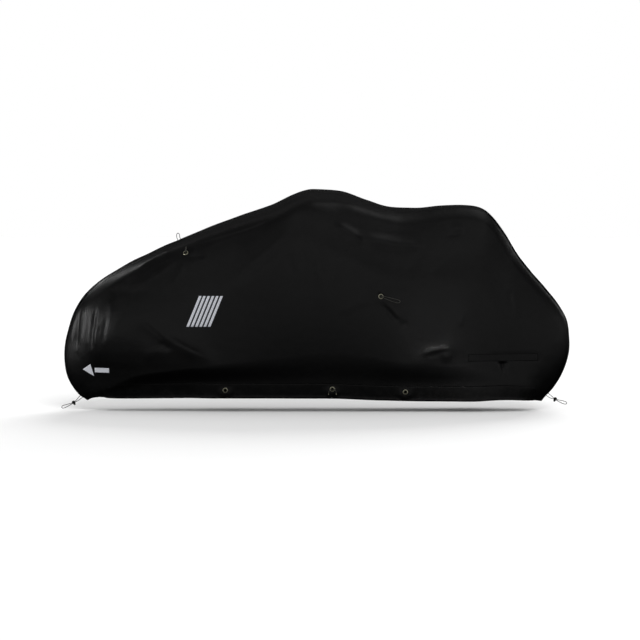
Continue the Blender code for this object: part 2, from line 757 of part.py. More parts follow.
def main():
    clear_scene()
    cloth_black = make_material("coated_cloth", (0.010, 0.010, 0.011), 0.42)
    aged_brass = make_material("aged_brass", (0.34, 0.33, 0.25), 0.38, 1.0)
    cord_grey = make_material("elastic_cord", (0.020, 0.020, 0.021), 0.7)
    lock_plastic = make_material("lock_plastic", (0.012, 0.012, 0.013), 0.45)

    left = Side(LEFT, LEFT_FOLDS + [MOUTH])
    right = Side(RIGHT, [])
    shapes = {LEFT: left, RIGHT: right}
    frames = {eyelet.name: eyelet_frame(shapes[eyelet.side], eyelet) for eyelet in EYELETS}

    grids = {}
    for side, word, panel_rows in ((LEFT, "left", LEFT_ROWS), (RIGHT, "right", RIGHT_ROWS)):
        shape = shapes[side]
        grids["side_panel_" + word] = grid_between(
            shape,
            lambda at, s=shape: s.seam_length(at) + GAP / 2,
            lambda at, s=shape: s.line(at)[1][-1] - s.channel_length(at) - GAP / 2,
            panel_rows,
        )
        grids["hem_" + word] = grid_between(
            shape,
            lambda at, s=shape: s.line(at)[1][-1] - s.channel_length(at) + GAP / 2,
            lambda at, s=shape: s.line(at)[1][-1],
            HEM_ROWS,
        )
    for eyelet in EYELETS:
        flatten_seat(grids[eyelet.cloth], frames[eyelet.name])

    cloths = {name: cloth_sheet(name, grid, CLOTH, cloth_black) for name, grid in grids.items()}
    cloth_sheet("spine_panel", spine_grid(left, right), CLOTH, cloth_black)
    rear_flap(left, cloth_black)
    for eyelet in EYELETS:
        pierce(cloths[eyelet.cloth], eyelet.name, frames[eyelet.name], aged_brass)
        turned(eyelet.name, eyelet_profile(), frames[eyelet.name], aged_brass, EYELET_SEGMENTS)

    cord_tube("front_drawcord", FRONT_DRAWCORD, cord_grey)
    cord_tube("rear_drawcord", REAR_DRAWCORD, cord_grey)
    cord_tube("top_loop", TOP_LOOP, cord_grey)
    for name, route, eyelet_name in (
        ("upper_loop", UPPER_LOOP, "eyelet_upper_front"),
        ("middle_loop", MIDDLE_LOOP, "eyelet_middle"),
    ):
        frame = frames[eyelet_name]
        cord_tube(name, in_frame(frame, route), cord_grey)
        depth = STRAND_END - KNOT_GAP - KNOT_DEPTH / 2
        behind = frame @ Matrix.Translation((0, 0, depth))
        knot_name = name.replace("loop", "knot")
        rounded_cylinder(knot_name, KNOT_RADIUS, KNOT_DEPTH, 0.0022, behind, cord_grey)
    tie = in_frame(frames["eyelet_hem_left_mid"], HEM_TIE)
    cord_tube("hem_tie", tie, cord_grey)
    end_tip("hem_tie_tip_front", tie[0], tie[1], aged_brass)
    end_tip("hem_tie_tip_rear", tie[-1], tie[-2], aged_brass)
    for lock in CORD_LOCKS:
        cord_lock(lock, lock_plastic)


main()
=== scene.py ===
import itertools
import json
import math
from collections import namedtuple

import bmesh
import bpy
import numpy as np
from mathutils import Matrix, Vector, noise
from mathutils.bvhtree import BVHTree

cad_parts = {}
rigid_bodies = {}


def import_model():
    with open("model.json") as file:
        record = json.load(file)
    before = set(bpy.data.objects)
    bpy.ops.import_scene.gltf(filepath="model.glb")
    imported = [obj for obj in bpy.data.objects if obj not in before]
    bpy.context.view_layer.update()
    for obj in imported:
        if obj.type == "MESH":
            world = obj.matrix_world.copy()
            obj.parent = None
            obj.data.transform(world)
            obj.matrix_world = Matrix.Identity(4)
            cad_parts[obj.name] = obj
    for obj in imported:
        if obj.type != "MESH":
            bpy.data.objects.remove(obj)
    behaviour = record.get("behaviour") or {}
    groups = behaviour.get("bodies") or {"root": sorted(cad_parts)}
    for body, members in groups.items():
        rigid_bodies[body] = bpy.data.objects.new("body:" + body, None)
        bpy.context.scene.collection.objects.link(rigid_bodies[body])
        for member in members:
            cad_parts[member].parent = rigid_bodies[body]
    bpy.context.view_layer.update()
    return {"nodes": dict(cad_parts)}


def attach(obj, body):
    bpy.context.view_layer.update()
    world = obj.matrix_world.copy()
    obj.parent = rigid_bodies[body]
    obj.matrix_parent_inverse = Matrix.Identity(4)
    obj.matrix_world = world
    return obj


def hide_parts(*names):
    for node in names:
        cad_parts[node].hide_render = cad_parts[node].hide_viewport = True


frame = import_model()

# A long black fitted cloth cover on its own: two side panels, a spine strip, drawcord hems, eyelets,
# cord loops and a low rear flap. Metres; the front is at -X and the left side at -Y.
# Places are x, y and height above the ground, which lies holdHeight below the origin.
holdHeight = 1.069
leftSide, rightSide = -1, 1


def toFrame(point):
    return Vector((point[0], point[1], point[2] - holdHeight))


def addObject(name, data):
    made = bpy.data.objects.new(name, data)
    bpy.context.scene.collection.objects.link(made)
    return made


def lookFrom(made, place, direction):
    made.location = place
    made.rotation_euler = direction.to_track_quat("-Z", "Y").to_euler()


def frameOf(along, across, outwards, origin):
    # a place whose axes run in the given directions
    place = Matrix((along, across, outwards)).transposed().to_4x4()
    place.translation = Vector(origin)
    return place


def thicken(made, thickness):
    # inwards from the faces
    wall = made.modifiers.new("thickness", "SOLIDIFY")
    wall.thickness = thickness
    wall.offset = -1.0


# Camera, lights and floor

camera = {
    "distance": 13.0,  # from the cover's middle plane
    "widthSeen": 3.104,  # at that plane
    "aim": (0.02425, 0.0, 0.4365),
    "elevation": 2.0,
}
Light = namedtuple("Light", "name place aim size power spread", defaults=(180,))
lights = [  # place and aim as x, y, height; size across and along; power in watts; spread in degrees
    Light("wall", (0.3, -6.5, 1.35), (0.3, 0.0, 1.35), (10.0, 2.3), 43),
    Light("slope", (-0.2, -5.0, 4.6), (0.2, 0.0, 0.5), (8.4, 3.0), 42),
    Light("bounceLeft", (-2.4, -3.5, 0.02), (-2.4, -3.5, 2.0), (3.8, 4.4), 9),
    Light("bounceRight", (2.1, -3.5, 0.02), (2.1, -3.5, 2.0), (5.2, 4.4), 28),
    Light("nearBounce", (0.2, -0.85, 0.02), (0.2, -0.85, 2.0), (7.0, 0.9), 2.0),
    Light("rearBounce", (1.1, -0.85, 0.02), (1.1, -0.85, 2.0), (1.4, 0.9), 0.4),
    Light("overhead", (0.1, -0.6, 5.0), (0.1, 0.0, 0.5), (8.0, 4.0), 17),
    Light("aboveBack", (0.1, 2.2, 3.6), (0.1, 0.0, 0.95), (5.0, 3.4), 4),
    Light("wallLeft", (-5.9, -4.9, 1.35), (0.0, 0.0, 1.35), (2.6, 2.3), 12),
    Light("wallRight", (6.2, -4.9, 1.35), (0.2, 0.0, 1.35), (2.6, 2.3), 7),
    Light("sheen", (1.9, 0.5, 3.5), (0.2, -0.2, 0.9), (2.2, 1.8), 8),
    Light("besideSheen", (3.4, -2.9, 3.65), (0.25, -0.25, 0.85), (1.6, 1.6), 6.5),
    Light("crease", (1.39, -3.53, 2.44), (0.57, -0.24, 0.32), (0.3, 0.4), 0.07, 3),
    Light("ridge", (0.04, -3.24, 3.31), (-0.70, -0.27, 0.37), (0.4, 0.4), 0.015, 4),
    Light("frontLeft", (-4.3, -0.78, 1.36), (-1.1, -0.1, 0.40), (0.6, 0.3), 33),
    Light("backLeft", (-3.4, 2.7, 3.4), (-0.85, 0.0, 0.65), (0.5, 0.8), 12),
    Light("sideRight", (5.2, -1.6, 1.3), (1.1, 0.0, 0.45), (2.4, 2.2), 9),
    Light("rearRight", (3.6, 1.9, 1.7), (1.1, 0.0, 0.6), (0.5, 1.3), 6),
    Light("rearWall", (6.5, 0.0, 1.35), (0.3, 0.0, 1.35), (8.0, 2.3), 10),
    Light("frontWall", (-6.5, 0.6, 1.35), (0.3, 0.6, 1.35), (7.0, 2.3), 9),
]
backLights = [  # only the pieces of the right side receive these
    Light("backWall", (0.3, 6.5, 1.35), (0.3, 0.0, 1.35), (10.0, 2.3), 43),
    Light("backSlope", (-0.2, 5.0, 4.6), (0.2, 0.0, 0.5), (8.4, 3.0), 42),
    Light("backBounce", (0.2, 3.5, 0.02), (0.2, 3.5, 2.0), (9.0, 4.4), 46),
    Light("backSheen", (-2.0, 3.4, 3.4), (0.0, 0.2, 0.6), (0.8, 1.2), 12),
]
FloorLight = namedtuple("FloorLight", "name turned spread strength")
floorLights = [  # only the floor receives these; turned from overhead, in degrees
    FloorLight("overFloor", (0.0, 0.0, 0.0), 130.0, 1.5),
    FloorLight("behindFloor", (-66.0, 0.0, -14.0), 36.0, 2.3),
    FloorLight("beforeFloor", (62.0, 0.0, 10.0), 30.0, 3.0),
]
floorLook = {"size": 400.0, "colour": (0.80, 0.80, 0.80), "glow": 0.04}


def makeCamera():
    data = bpy.data.cameras.new("camera")
    data.sensor_width = 36.0
    data.lens = data.sensor_width * camera["distance"] / camera["widthSeen"]
    data.clip_end = 200.0
    made = addObject("camera", data)
    lean = math.radians(camera["elevation"])
    back = Vector((0.0, -math.cos(lean), math.sin(lean)))
    lookFrom(made, toFrame(camera["aim"]) + back * camera["distance"], -back)
    bpy.context.scene.camera = made


def makeLight(light, lit):
    data = bpy.data.lights.new(light.name, "AREA")
    data.shape = "RECTANGLE"
    data.size, data.size_y = light.size
    data.energy = light.power
    data.spread = math.radians(light.spread)
    made = addObject(light.name, data)
    lookFrom(made, toFrame(light.place), toFrame(light.aim) - toFrame(light.place))
    made.visible_camera = False
    made.light_linking.receiver_collection = lit


def makeFloorLight(light, lit):
    data = bpy.data.lights.new(light.name, "SUN")
    data.energy = light.strength
    data.angle = math.radians(light.spread)
    made = addObject(light.name, data)
    made.rotation_euler = [math.radians(angle) for angle in light.turned]
    made.light_linking.receiver_collection = lit


print("camera")
makeCamera()


# Materials


class Value:
    # one output of a material's nodes, which can be used in expressions
    def __init__(self, look, socket):
        self.look = look
        self.socket = socket

    def math(self, operation, first, second=0.0):
        return self.look.node("ShaderNodeMath", {"operation": operation}, [first, second])

    def __add__(self, other):
        return self.math("ADD", self, other)

    def __radd__(self, other):
        return self.math("ADD", other, self)

    def __sub__(self, other):
        return self.math("SUBTRACT", self, other)

    def __rsub__(self, other):
        return self.math("SUBTRACT", other, self)

    def __mul__(self, other):
        return self.math("MULTIPLY", self, other)

    def __rmul__(self, other):
        return self.math("MULTIPLY", other, self)

    def sine(self):
        return self.math("SINE", self)

    def most(self, other):
        return self.math("MAXIMUM", self, other)


class Look:
    # a material: its nodes come from node(), and what varies is linked with feed()
    def __init__(self, name, colour, roughness, metallic=0.0):
        self.material = bpy.data.materials.new(name)
        self.material.use_nodes = True
        self.material.diffuse_color = (*colour, 1.0)
        self.tree = self.material.node_tree
        self.shader = self.tree.nodes["Principled BSDF"]
        self.feed("Base Color", (*colour, 1.0))
        self.feed("Roughness", roughness)
        self.feed("Metallic", metallic)

    def put(self, socket, value):
        if isinstance(value, Value):
            self.tree.links.new(value.socket, socket)
        else:
            socket.default_value = value

    def feed(self, name, value):
        self.put(self.shader.inputs[name], value)

    def node(self, kind, settings=None, inputs=None, output=0):
        made = self.tree.nodes.new(kind)
        for name, value in (settings or {}).items():
            setattr(made, name, value)
        pairs = inputs.items() if isinstance(inputs, dict) else enumerate(inputs or [])
        for name, value in pairs:
            self.put(made.inputs[name], value)
        return Value(self, made.outputs[output])

    def place(self):
        return self.node("ShaderNodeTexCoord", output="Object")

    def alongCloth(self):
        # distance along and across the piece, in metres
        both = self.node("ShaderNodeUVMap", {"uv_map": "cloth"})
        return [self.node("ShaderNodeSeparateXYZ", inputs=[both], output=k) for k in (0, 1)]

    def attribute(self, name):
        return self.node("ShaderNodeAttribute", {"attribute_name": name}, output="Fac")

    def grain(self, scale, detail=2.0, roughness=0.5):
        inputs = {"Vector": self.place(), "Scale": scale, "Detail": detail, "Roughness": roughness}
        return self.node("ShaderNodeTexNoise", inputs=inputs)

    def between(self, value, low, high, out0=0.0, out1=1.0):
        return self.node("ShaderNodeMapRange", {"clamp": True}, [value, low, high, out0, out1])

    def mix(self, share, first, second):
        tones = [tone if isinstance(tone, Value) else (*tone, 1.0) for tone in (first, second)]
        inputs = {0: share, 6: tones[0], 7: tones[1]}
        return self.node("ShaderNodeMix", {"data_type": "RGBA"}, inputs, output=2)

    def bump(self, height, distance, strength=1.0, under=None):
        inputs = {"Height": height, "Distance": distance, "Strength": strength}
        if under:
            inputs["Normal"] = under
        return self.node("ShaderNodeBump", inputs=inputs)


clothLook = {
    "dark": (0.0043, 0.0043, 0.0045),
    "light": (0.0058, 0.0058, 0.0061),
    "shine": 0.27,
    "roughness": (0.33, 0.40),
    "spineRoughness": (0.23, 0.30),
    "crinkle": 0.0006,  # height of the fine creases of the coating
    "weave": 0.00006,
    "thread": 0.0011,  # from one thread to the next
    "grid": 0.0060,  # from one thicker thread to the next
    "pucker": 0.0001,  # height of the gathers beside a seam
    "puckers": 520.0,  # how close they follow each other, in radians to the metre
    "puckerZone": (0.002, 0.022),  # from whole to gone, away from the seam
    "dust": (0.030, 0.029, 0.027),
    "dustZone": (-1.02, -0.90),  # from whole to gone, upwards
    # painted shade: the colour of the flap's border, standing in for the shade in the gap round the flap
    "gapShade": (0.0015, 0.0015, 0.0016),
}


def clothMaterial(name, roughness, seams=True, gapShadeWidth=0.0):
    look = Look(name, clothLook["dark"], 0.42)
    across, down = look.alongCloth()
    tones = look.between(look.grain(7.0, 3.0) * 0.6 + look.grain(90.0, 3.0, 0.6) * 0.4, 0.3, 0.7)
    colour = look.mix(tones, clothLook["dark"], clothLook["light"])
    height = look.node("ShaderNodeSeparateXYZ", inputs=[look.place()], output=2)
    specks = look.between(look.grain(35.0, 4.0, 0.7), 0.45, 0.75)
    dusty = look.between(height, *clothLook["dustZone"], 1.0, 0.0) * specks * 0.5
    colour = look.mix(dusty, colour, clothLook["dust"])
    # a border along the flap's edge is painted darker, as the shade in the gap round it, and made a little rougher
    if gapShadeWidth:
        edge = look.between(look.attribute("seam"), gapShadeWidth, gapShadeWidth * 1.4, 1.0, 0.0)
        colour = look.mix(edge, colour, clothLook["gapShade"])
        dusty = dusty + edge * 2.0
    look.feed("Base Color", colour)
    smooth, rough = roughness
    look.feed("Roughness", look.between(look.grain(14.0, 4.0, 0.6), 0.3, 0.7, smooth, rough) + dusty * 0.2)
    turn = 2 * math.pi / clothLook["thread"]
    warp = (across * turn).sine() * (down * turn).sine()
    ribs = 2 * math.pi / clothLook["grid"]
    lines = look.between((across * ribs).sine().most((down * ribs).sine()), 0.93, 1.0)
    weave = look.bump(warp * 0.5 + lines, clothLook["weave"])
    crinkle = look.node(
        "ShaderNodeTexVoronoi",
        {"feature": "SMOOTH_F1", "distance": "EUCLIDEAN"},
        {"Vector": look.place(), "Scale": 26.0, "Smoothness": 0.5},
    )
    creased = look.bump(crinkle + look.grain(60.0, 4.0, 0.6) * 0.8, clothLook["crinkle"], under=weave)
    if seams:
        near = look.between(look.attribute("seam"), *clothLook["puckerZone"], 1.0, 0.0)
        waves = (across * clothLook["puckers"] + look.grain(22.0, 1.0) * 6.0).sine()
        creased = look.bump(waves * near, clothLook["pucker"], under=creased)
    look.feed("Normal", creased)
    look.shader.inputs["Specular IOR Level"].default_value = clothLook["shine"]
    return look.material


brassLook = {
    "bright": (0.70, 0.68, 0.52),
    "dull": (0.30, 0.29, 0.21),
    "tarnished": (0.05, 0.048, 0.036),
    "rim": (0.0082, 0.0100),  # from tarnished to rubbed, away from the axis
}


def brassMaterial(name, turned):
    look = Look(name, brassLook["dull"], 0.4, 1.0)
    worn = look.between(look.grain(420.0, 4.0, 0.65), 0.35, 0.62)
    tone = look.mix(worn, brassLook["dull"], brassLook["bright"])
    if turned:  # rubbed bright on its outer rim, tarnished towards the bore
        rim = look.between(look.attribute("away"), *brassLook["rim"])
        tone = look.mix(rim, brassLook["tarnished"], tone)
    look.feed("Base Color", tone)
    look.feed("Roughness", look.between(worn, 0.0, 1.0, 0.55, 0.3))
    look.feed("Metallic", look.between(look.grain(300.0, 2.0), 0.25, 0.45, 0.7, 1.0))
    look.feed("Normal", look.bump(look.grain(900.0, 3.0), 0.00005))
    return look.material


cordLook = {"strands": 6, "winding": 2600.0}  # strands each way, and how fast they wind in radians to the metre


def cordMaterial(name, dark, light):
    look = Look(name, dark, 0.7)
    around, along = look.alongCloth()
    turn, wind = around * (2 * math.pi * cordLook["strands"]), along * cordLook["winding"]
    strands = (turn + wind).sine().most((turn - wind).sine())
    fuzz = look.grain(1500.0, 3.0)
    look.feed("Base Color", look.mix(look.between(strands + fuzz - 0.5, 0.2, 1.0), dark, light))
    look.feed("Roughness", look.between(fuzz, 0.3, 0.7, 0.6, 0.85))
    look.feed("Normal", look.bump(strands + fuzz * 0.4, 0.0002))
    return look.material


plasticLook = {"plain": (0.012, 0.012, 0.013), "dark": (0.010, 0.010, 0.011), "scuffed": (0.035, 0.035, 0.036)}


def plasticMaterial():
    look = Look("lockPlastic", plasticLook["plain"], 0.45)
    grain = look.grain(1300.0, 3.0)
    scuffs = look.between(look.grain(240.0, 5.0, 0.7), 0.58, 0.72)
    look.feed("Base Color", look.mix(scuffs, plasticLook["dark"], plasticLook["scuffed"]))
    look.feed("Roughness", look.between(grain, 0.3, 0.7, 0.38, 0.55) + scuffs * 0.15)
    look.feed("Normal", look.bump(grain, 0.00006))
    return look.material


printTones = {  # the print sends light back to where it came from, which is painted on as a little glow
    "plain": (0.78, 0.80, 0.86),
    "fresh": (0.91, 0.93, 0.97),
    "worn": (0.56, 0.57, 0.61),
    "freshPaintedGlow": (0.86, 0.89, 1.00),
    "wornPaintedGlow": (0.50, 0.52, 0.58),
    # strength of the print's painted glow
    "glow": 0.18,
}


def printMaterial():
    look = Look("palePrint", printTones["plain"], 0.5)
    beads = look.grain(1600.0, 2.0)
    worn = look.between(look.grain(110.0, 5.0, 0.7), 0.62, 0.78)
    look.feed("Base Color", look.mix(worn, printTones["fresh"], printTones["worn"]))
    look.feed("Roughness", look.between(beads, 0.3, 0.7, 0.42, 0.6))
    look.feed("Normal", look.bump(beads, 0.00004))
    # painted glow: the print emits light, standing in for the light it sends back
    look.feed("Emission Color", look.mix(worn, printTones["freshPaintedGlow"], printTones["wornPaintedGlow"]))
    look.shader.inputs["Emission Strength"].default_value = printTones["glow"]
    return look.material


threadLook = {"plain": (0.018, 0.018, 0.019), "dark": (0.012, 0.012, 0.013), "light": (0.030, 0.030, 0.032)}


def threadMaterial():
    look = Look("sewingThread", threadLook["plain"], 0.6)
    twist = look.grain(2400.0, 2.0)
    look.feed("Base Color", look.mix(look.between(twist, 0.35, 0.65), threadLook["dark"], threadLook["light"]))
    look.feed("Normal", look.bump(twist, 0.00008))
    return look.material


# Numbers and lines


def smoothValues(knots, values, wanted):
    # a smooth curve through the given values, without overshoot between them
    knots = np.asarray(knots, float)
    values = np.asarray(values, float)
    wanted = np.atleast_1d(np.asarray(wanted, float))
    steps = np.diff(knots)
    slopes = np.diff(values) / steps
    before, after = slopes[:-1], slopes[1:]
    sameSign = before * after > 0
    tangents = np.zeros(len(knots))
    tangents[1:-1] = np.where(sameSign, 2 * before * after / np.where(sameSign, before + after, 1), 0)
    tangents[0], tangents[-1] = slopes[0], slopes[-1]
    cell = np.clip(np.searchsorted(knots, wanted, side="right") - 1, 0, len(steps) - 1)
    width = steps[cell]
    t = (wanted - knots[cell]) / width
    return (
        values[cell] * (1 + 2 * t) * (1 - t) ** 2
        + tangents[cell] * width * t * (1 - t) ** 2
        + values[cell + 1] * t * t * (3 - 2 * t)
        + tangents[cell + 1] * width * t * t * (t - 1)
    )


def chords(points):
    lengths = np.linalg.norm(np.diff(points, axis=0), axis=1)
    return np.concatenate([[0], np.cumsum(lengths)])


def spline(points, count):
    # points at even distances on a smooth curve through the given ones
    points = np.asarray(points, float)
    extended = np.vstack([2 * points[0] - points[1], points, 2 * points[-1] - points[-2]])
    fine = []
    for a, b, c, d in zip(extended, extended[1:], extended[2:], extended[3:]):
        for t in np.linspace(0, 1, 24, endpoint=False):
            cubic = (2 * a - 5 * b + 4 * c - d) * t**2 + (3 * b - 3 * c + d - a) * t**3
            fine.append(0.5 * (2 * b + (c - a) * t + cubic))
    fine = np.array(fine + [points[-1]])
    along = chords(fine)
    even = np.linspace(0, along[-1], count)
    return np.column_stack([np.interp(even, along, fine[:, k]) for k in range(fine.shape[1])])


def smoothStep(value):
    t = np.clip(value, 0.0, 1.0)
    return t * t * (3 - 2 * t)


# Shape of the cover, the same as its solids

outline = [  # the spine strip's middle line in side view, front hem to rear hem
    (-1.108, 0.058), (-1.143, 0.078), (-1.181, 0.124), (-1.206, 0.178), (-1.216, 0.248), (-1.213, 0.318),
    (-1.197, 0.392), (-1.172, 0.468), (-1.137, 0.534), (-1.088, 0.589), (-1.004, 0.654), (-0.888, 0.721),
    (-0.713, 0.804), (-0.538, 0.877), (-0.364, 0.943), (-0.215, 0.994), (-0.110, 1.044), (-0.044, 1.067),
    (0.010, 1.071), (0.131, 1.061), (0.247, 1.020), (0.350, 0.988), (0.480, 0.981), (0.597, 0.990),
    (0.713, 0.995), (0.800, 0.981), (0.860, 0.937), (0.917, 0.861), (0.977, 0.762), (1.040, 0.682),
    (1.120, 0.589), (1.180, 0.514), (1.221, 0.436), (1.234, 0.340), (1.227, 0.262), (1.203, 0.188),
    (1.161, 0.120), (1.118, 0.074), (1.102, 0.056),
]
hemLine = [  # the hem's lower edge in side view
    (-1.110, 0.050), (-1.030, 0.056), (-0.790, 0.063), (-0.400, 0.068), (0.060, 0.067), (0.310, 0.058),
    (0.560, 0.053), (0.740, 0.053), (0.900, 0.060), (1.000, 0.058), (1.110, 0.045),
]
# Share of the outline, where that section meets the hem, then shares down it and half widths there
# of the seam, shoulder, belly and tuck, and the hem's half width.
Section = namedtuple("Section", "at hemX seamAt seam shoulderAt shoulder bellyAt belly tuckAt tuck hem")
sections = [
    Section(0.000, -1.100, 0.10, 0.046, 0.30, 0.050, 0.50, 0.055, 0.80, 0.060, 0.064),
    Section(0.060, -1.010, 0.050, 0.052, 0.18, 0.084, 0.55, 0.122, 0.85, 0.142, 0.142),
    Section(0.125, -0.900, 0.036, 0.058, 0.13, 0.102, 0.50, 0.174, 0.82, 0.186, 0.172),
    Section(0.190, -0.790, 0.030, 0.064, 0.10, 0.124, 0.46, 0.226, 0.80, 0.224, 0.190),
    Section(0.270, -0.610, 0.024, 0.070, 0.062, 0.156, 0.44, 0.262, 0.80, 0.258, 0.208),
    Section(0.365, -0.320, 0.022, 0.074, 0.060, 0.190, 0.40, 0.292, 0.79, 0.272, 0.214),
    Section(0.460, 0.000, 0.018, 0.078, 0.075, 0.280, 0.27, 0.330, 0.78, 0.272, 0.214),
    Section(0.520, 0.200, 0.018, 0.074, 0.080, 0.214, 0.34, 0.308, 0.78, 0.266, 0.210),
    Section(0.600, 0.470, 0.018, 0.070, 0.085, 0.156, 0.42, 0.256, 0.80, 0.248, 0.204),
    Section(0.680, 0.700, 0.018, 0.066, 0.075, 0.120, 0.46, 0.214, 0.82, 0.212, 0.194),
    Section(0.760, 0.830, 0.022, 0.064, 0.10, 0.112, 0.50, 0.182, 0.84, 0.186, 0.182),
    Section(0.830, 0.920, 0.030, 0.062, 0.13, 0.104, 0.52, 0.152, 0.84, 0.162, 0.160),
    Section(0.910, 1.010, 0.045, 0.056, 0.18, 0.086, 0.55, 0.116, 0.85, 0.130, 0.132),
    Section(1.000, 1.094, 0.10, 0.046, 0.30, 0.050, 0.50, 0.055, 0.80, 0.060, 0.064),
]
channelHeight = 0.075
channelFlare = 0.15  # share of the way to the tuck's half width, at the channel's top
normalStep = 0.002  # to a point's neighbours, for its normal
pointsDown = 400  # on one line from the spine to the hem
endGap = (0.02, 0.01)  # shares of the outline and of a line that a sought place stays off their ends

outlineShares = np.linspace(0, 1, 2000)
outlineFine = spline(outline, len(outlineShares))
hemPoints = np.array(hemLine)
sectionColumns = {name: [getattr(row, name) for row in sections] for name in Section._fields}


def sectionValue(name, at):
    return float(smoothValues(sectionColumns["at"], sectionColumns[name], at)[0])


def sectionLine(at, side):
    # outer face at a share of the outline, from the spine's middle line down to the hem
    head = np.array([np.interp(at, outlineShares, outlineFine[:, k]) for k in (0, 1)])
    hemX = sectionValue("hemX", at)
    foot = np.array([hemX, smoothValues(hemPoints[:, 0], hemPoints[:, 1], hemX)[0]])
    length = math.dist(head, foot)
    shares = [0.0] + [sectionValue(n, at) for n in ("seamAt", "shoulderAt", "bellyAt", "tuckAt")]
    halves = [0.0] + [sectionValue(n, at) for n in ("seam", "shoulder", "belly", "tuck")]
    channel = min(channelHeight / length, 0.5 * (1 - shares[-1]))
    hem = sectionValue("hem", at)
    shares += [1 - channel, 1.0]
    halves += [hem + channelFlare * (halves[-1] - hem), hem]
    knots = np.vstack([[[shares[1], -halves[1]]], np.column_stack([shares, halves])])
    along = chords(knots * [length, 1.0])
    wanted = np.linspace(along[1], along[-1], pointsDown)
    flat = head + np.outer(smoothValues(along, knots[:, 0], wanted), foot - head)
    return np.column_stack([flat[:, 0], side * smoothValues(along, knots[:, 1], wanted), flat[:, 1]])


Marks = namedtuple("Marks", "seam channel edge")


class Side:
    # outer face of one side: points and outward normals, before any fold
    def __init__(self, side):
        self.side = side
        self.lines = {}

    def line(self, at):
        at = min(max(at, 0.0), 1.0)
        if at not in self.lines:
            points = sectionLine(at, self.side)
            self.lines[at] = (points, chords(points))
        return self.lines[at]

    def total(self, at):
        return self.line(at)[1][-1]

    def seamLength(self, at):
        points, along = self.line(at)
        return float(np.interp(sectionValue("seam", at), np.abs(points[:, 1]), along))

    def marks(self, at):
        # lengths down to the spine's seam, the hem channel's seam and the lower edge
        seam, total = self.seamLength(at), self.total(at)
        return Marks(seam, total - channelHeight * math.tanh(0.5 * (total - seam) / channelHeight), total)

    def pointsAt(self, at, lengths):
        points, along = self.line(at)
        return np.column_stack([np.interp(lengths, along, points[:, k]) for k in range(3)])

    def places(self, at, lengths):
        low, high = max(at - normalStep, 0.0), min(at + normalStep, 1.0)
        total = self.total(at)
        shares = lengths / total
        ahead = self.pointsAt(high, shares * self.total(high))
        behind = self.pointsAt(low, shares * self.total(low))
        below = self.pointsAt(at, np.minimum(lengths + normalStep, total))
        above = self.pointsAt(at, np.maximum(lengths - normalStep, 0))
        normals = np.cross(ahead - behind, below - above) * self.side
        normals /= np.linalg.norm(normals, axis=1)[:, None]
        return self.pointsAt(at, lengths), normals

    def placeAt(self, x, height):
        # place on the smooth side at a point in side view, found by stepping towards it
        at, share = 0.5, 0.5
        perMetreAlong, perMetreDown = 0.25, 0.6
        for _ in range(60):
            point = self.pointsAt(at, np.array([share * self.total(at)]))[0]
            at = min(max(at + perMetreAlong * (x - point[0]), endGap[0]), 1 - endGap[0])
            share = min(max(share + perMetreDown * (point[2] - height), endGap[1]), 1 - endGap[1])
        points, normals = self.places(at, np.array([share * self.total(at)]))
        return points[0], normals[0]


shapes = {leftSide: Side(leftSide), rightSide: Side(rightSide)}
sideWords = {leftSide: "Left", rightSide: "Right"}

Eyelet = namedtuple("Eyelet", "name side x height cloth")
hemEyelets = [("front", -0.428, 0.108), ("mid", 0.083, 0.113), ("rear", 0.432, 0.099)]
eyelets = [
    Eyelet(f"eyelet_hem_{word.lower()}_{end}", side, x, height, "hem")
    for side, word in sideWords.items()
    for end, x, height in hemEyelets
] + [
    Eyelet("eyelet_upper_front", leftSide, -0.617, 0.764, "panel"),
    Eyelet("eyelet_middle", leftSide, 0.313, 0.558, "panel"),
]


def eyeletsIn(side, cloth):
    return [eyelet for eyelet in eyelets if (eyelet.side, eyelet.cloth) == (side, cloth)]


def eyeletFrame(eyelet):
    # at the outer face of the cloth: Z outwards, X along the cover
    point, normal = shapes[eyelet.side].placeAt(eyelet.x, eyelet.height)
    outwards = Vector(normal)
    if eyelet.cloth == "hem":
        outwards.z = 0.0
    outwards.normalize()
    along = (Vector((1, 0, 0)) - outwards * outwards.x).normalized()
    return frameOf(along, outwards.cross(along), outwards, (eyelet.x, point[1], eyelet.height))


eyeletFrames = {eyelet.name: eyeletFrame(eyelet) for eyelet in eyelets}
lowered = Matrix.Translation((0, 0, -holdHeight))  # from heights above the ground to the shared frame


# Finishing a piece


def finishPiece(name, bm, material, replaced=(), creaseAngle=None):
    mesh = bpy.data.meshes.new(name)
    bm.to_mesh(mesh)
    bm.free()
    mesh.shade_smooth()
    if creaseAngle:
        mesh.set_sharp_from_angle(angle=math.radians(creaseAngle))
    mesh.materials.append(material)
    made = addObject(name, mesh)
    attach(made, "root")
    if replaced:
        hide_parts(*replaced)
    return made


# Cords, by their routes

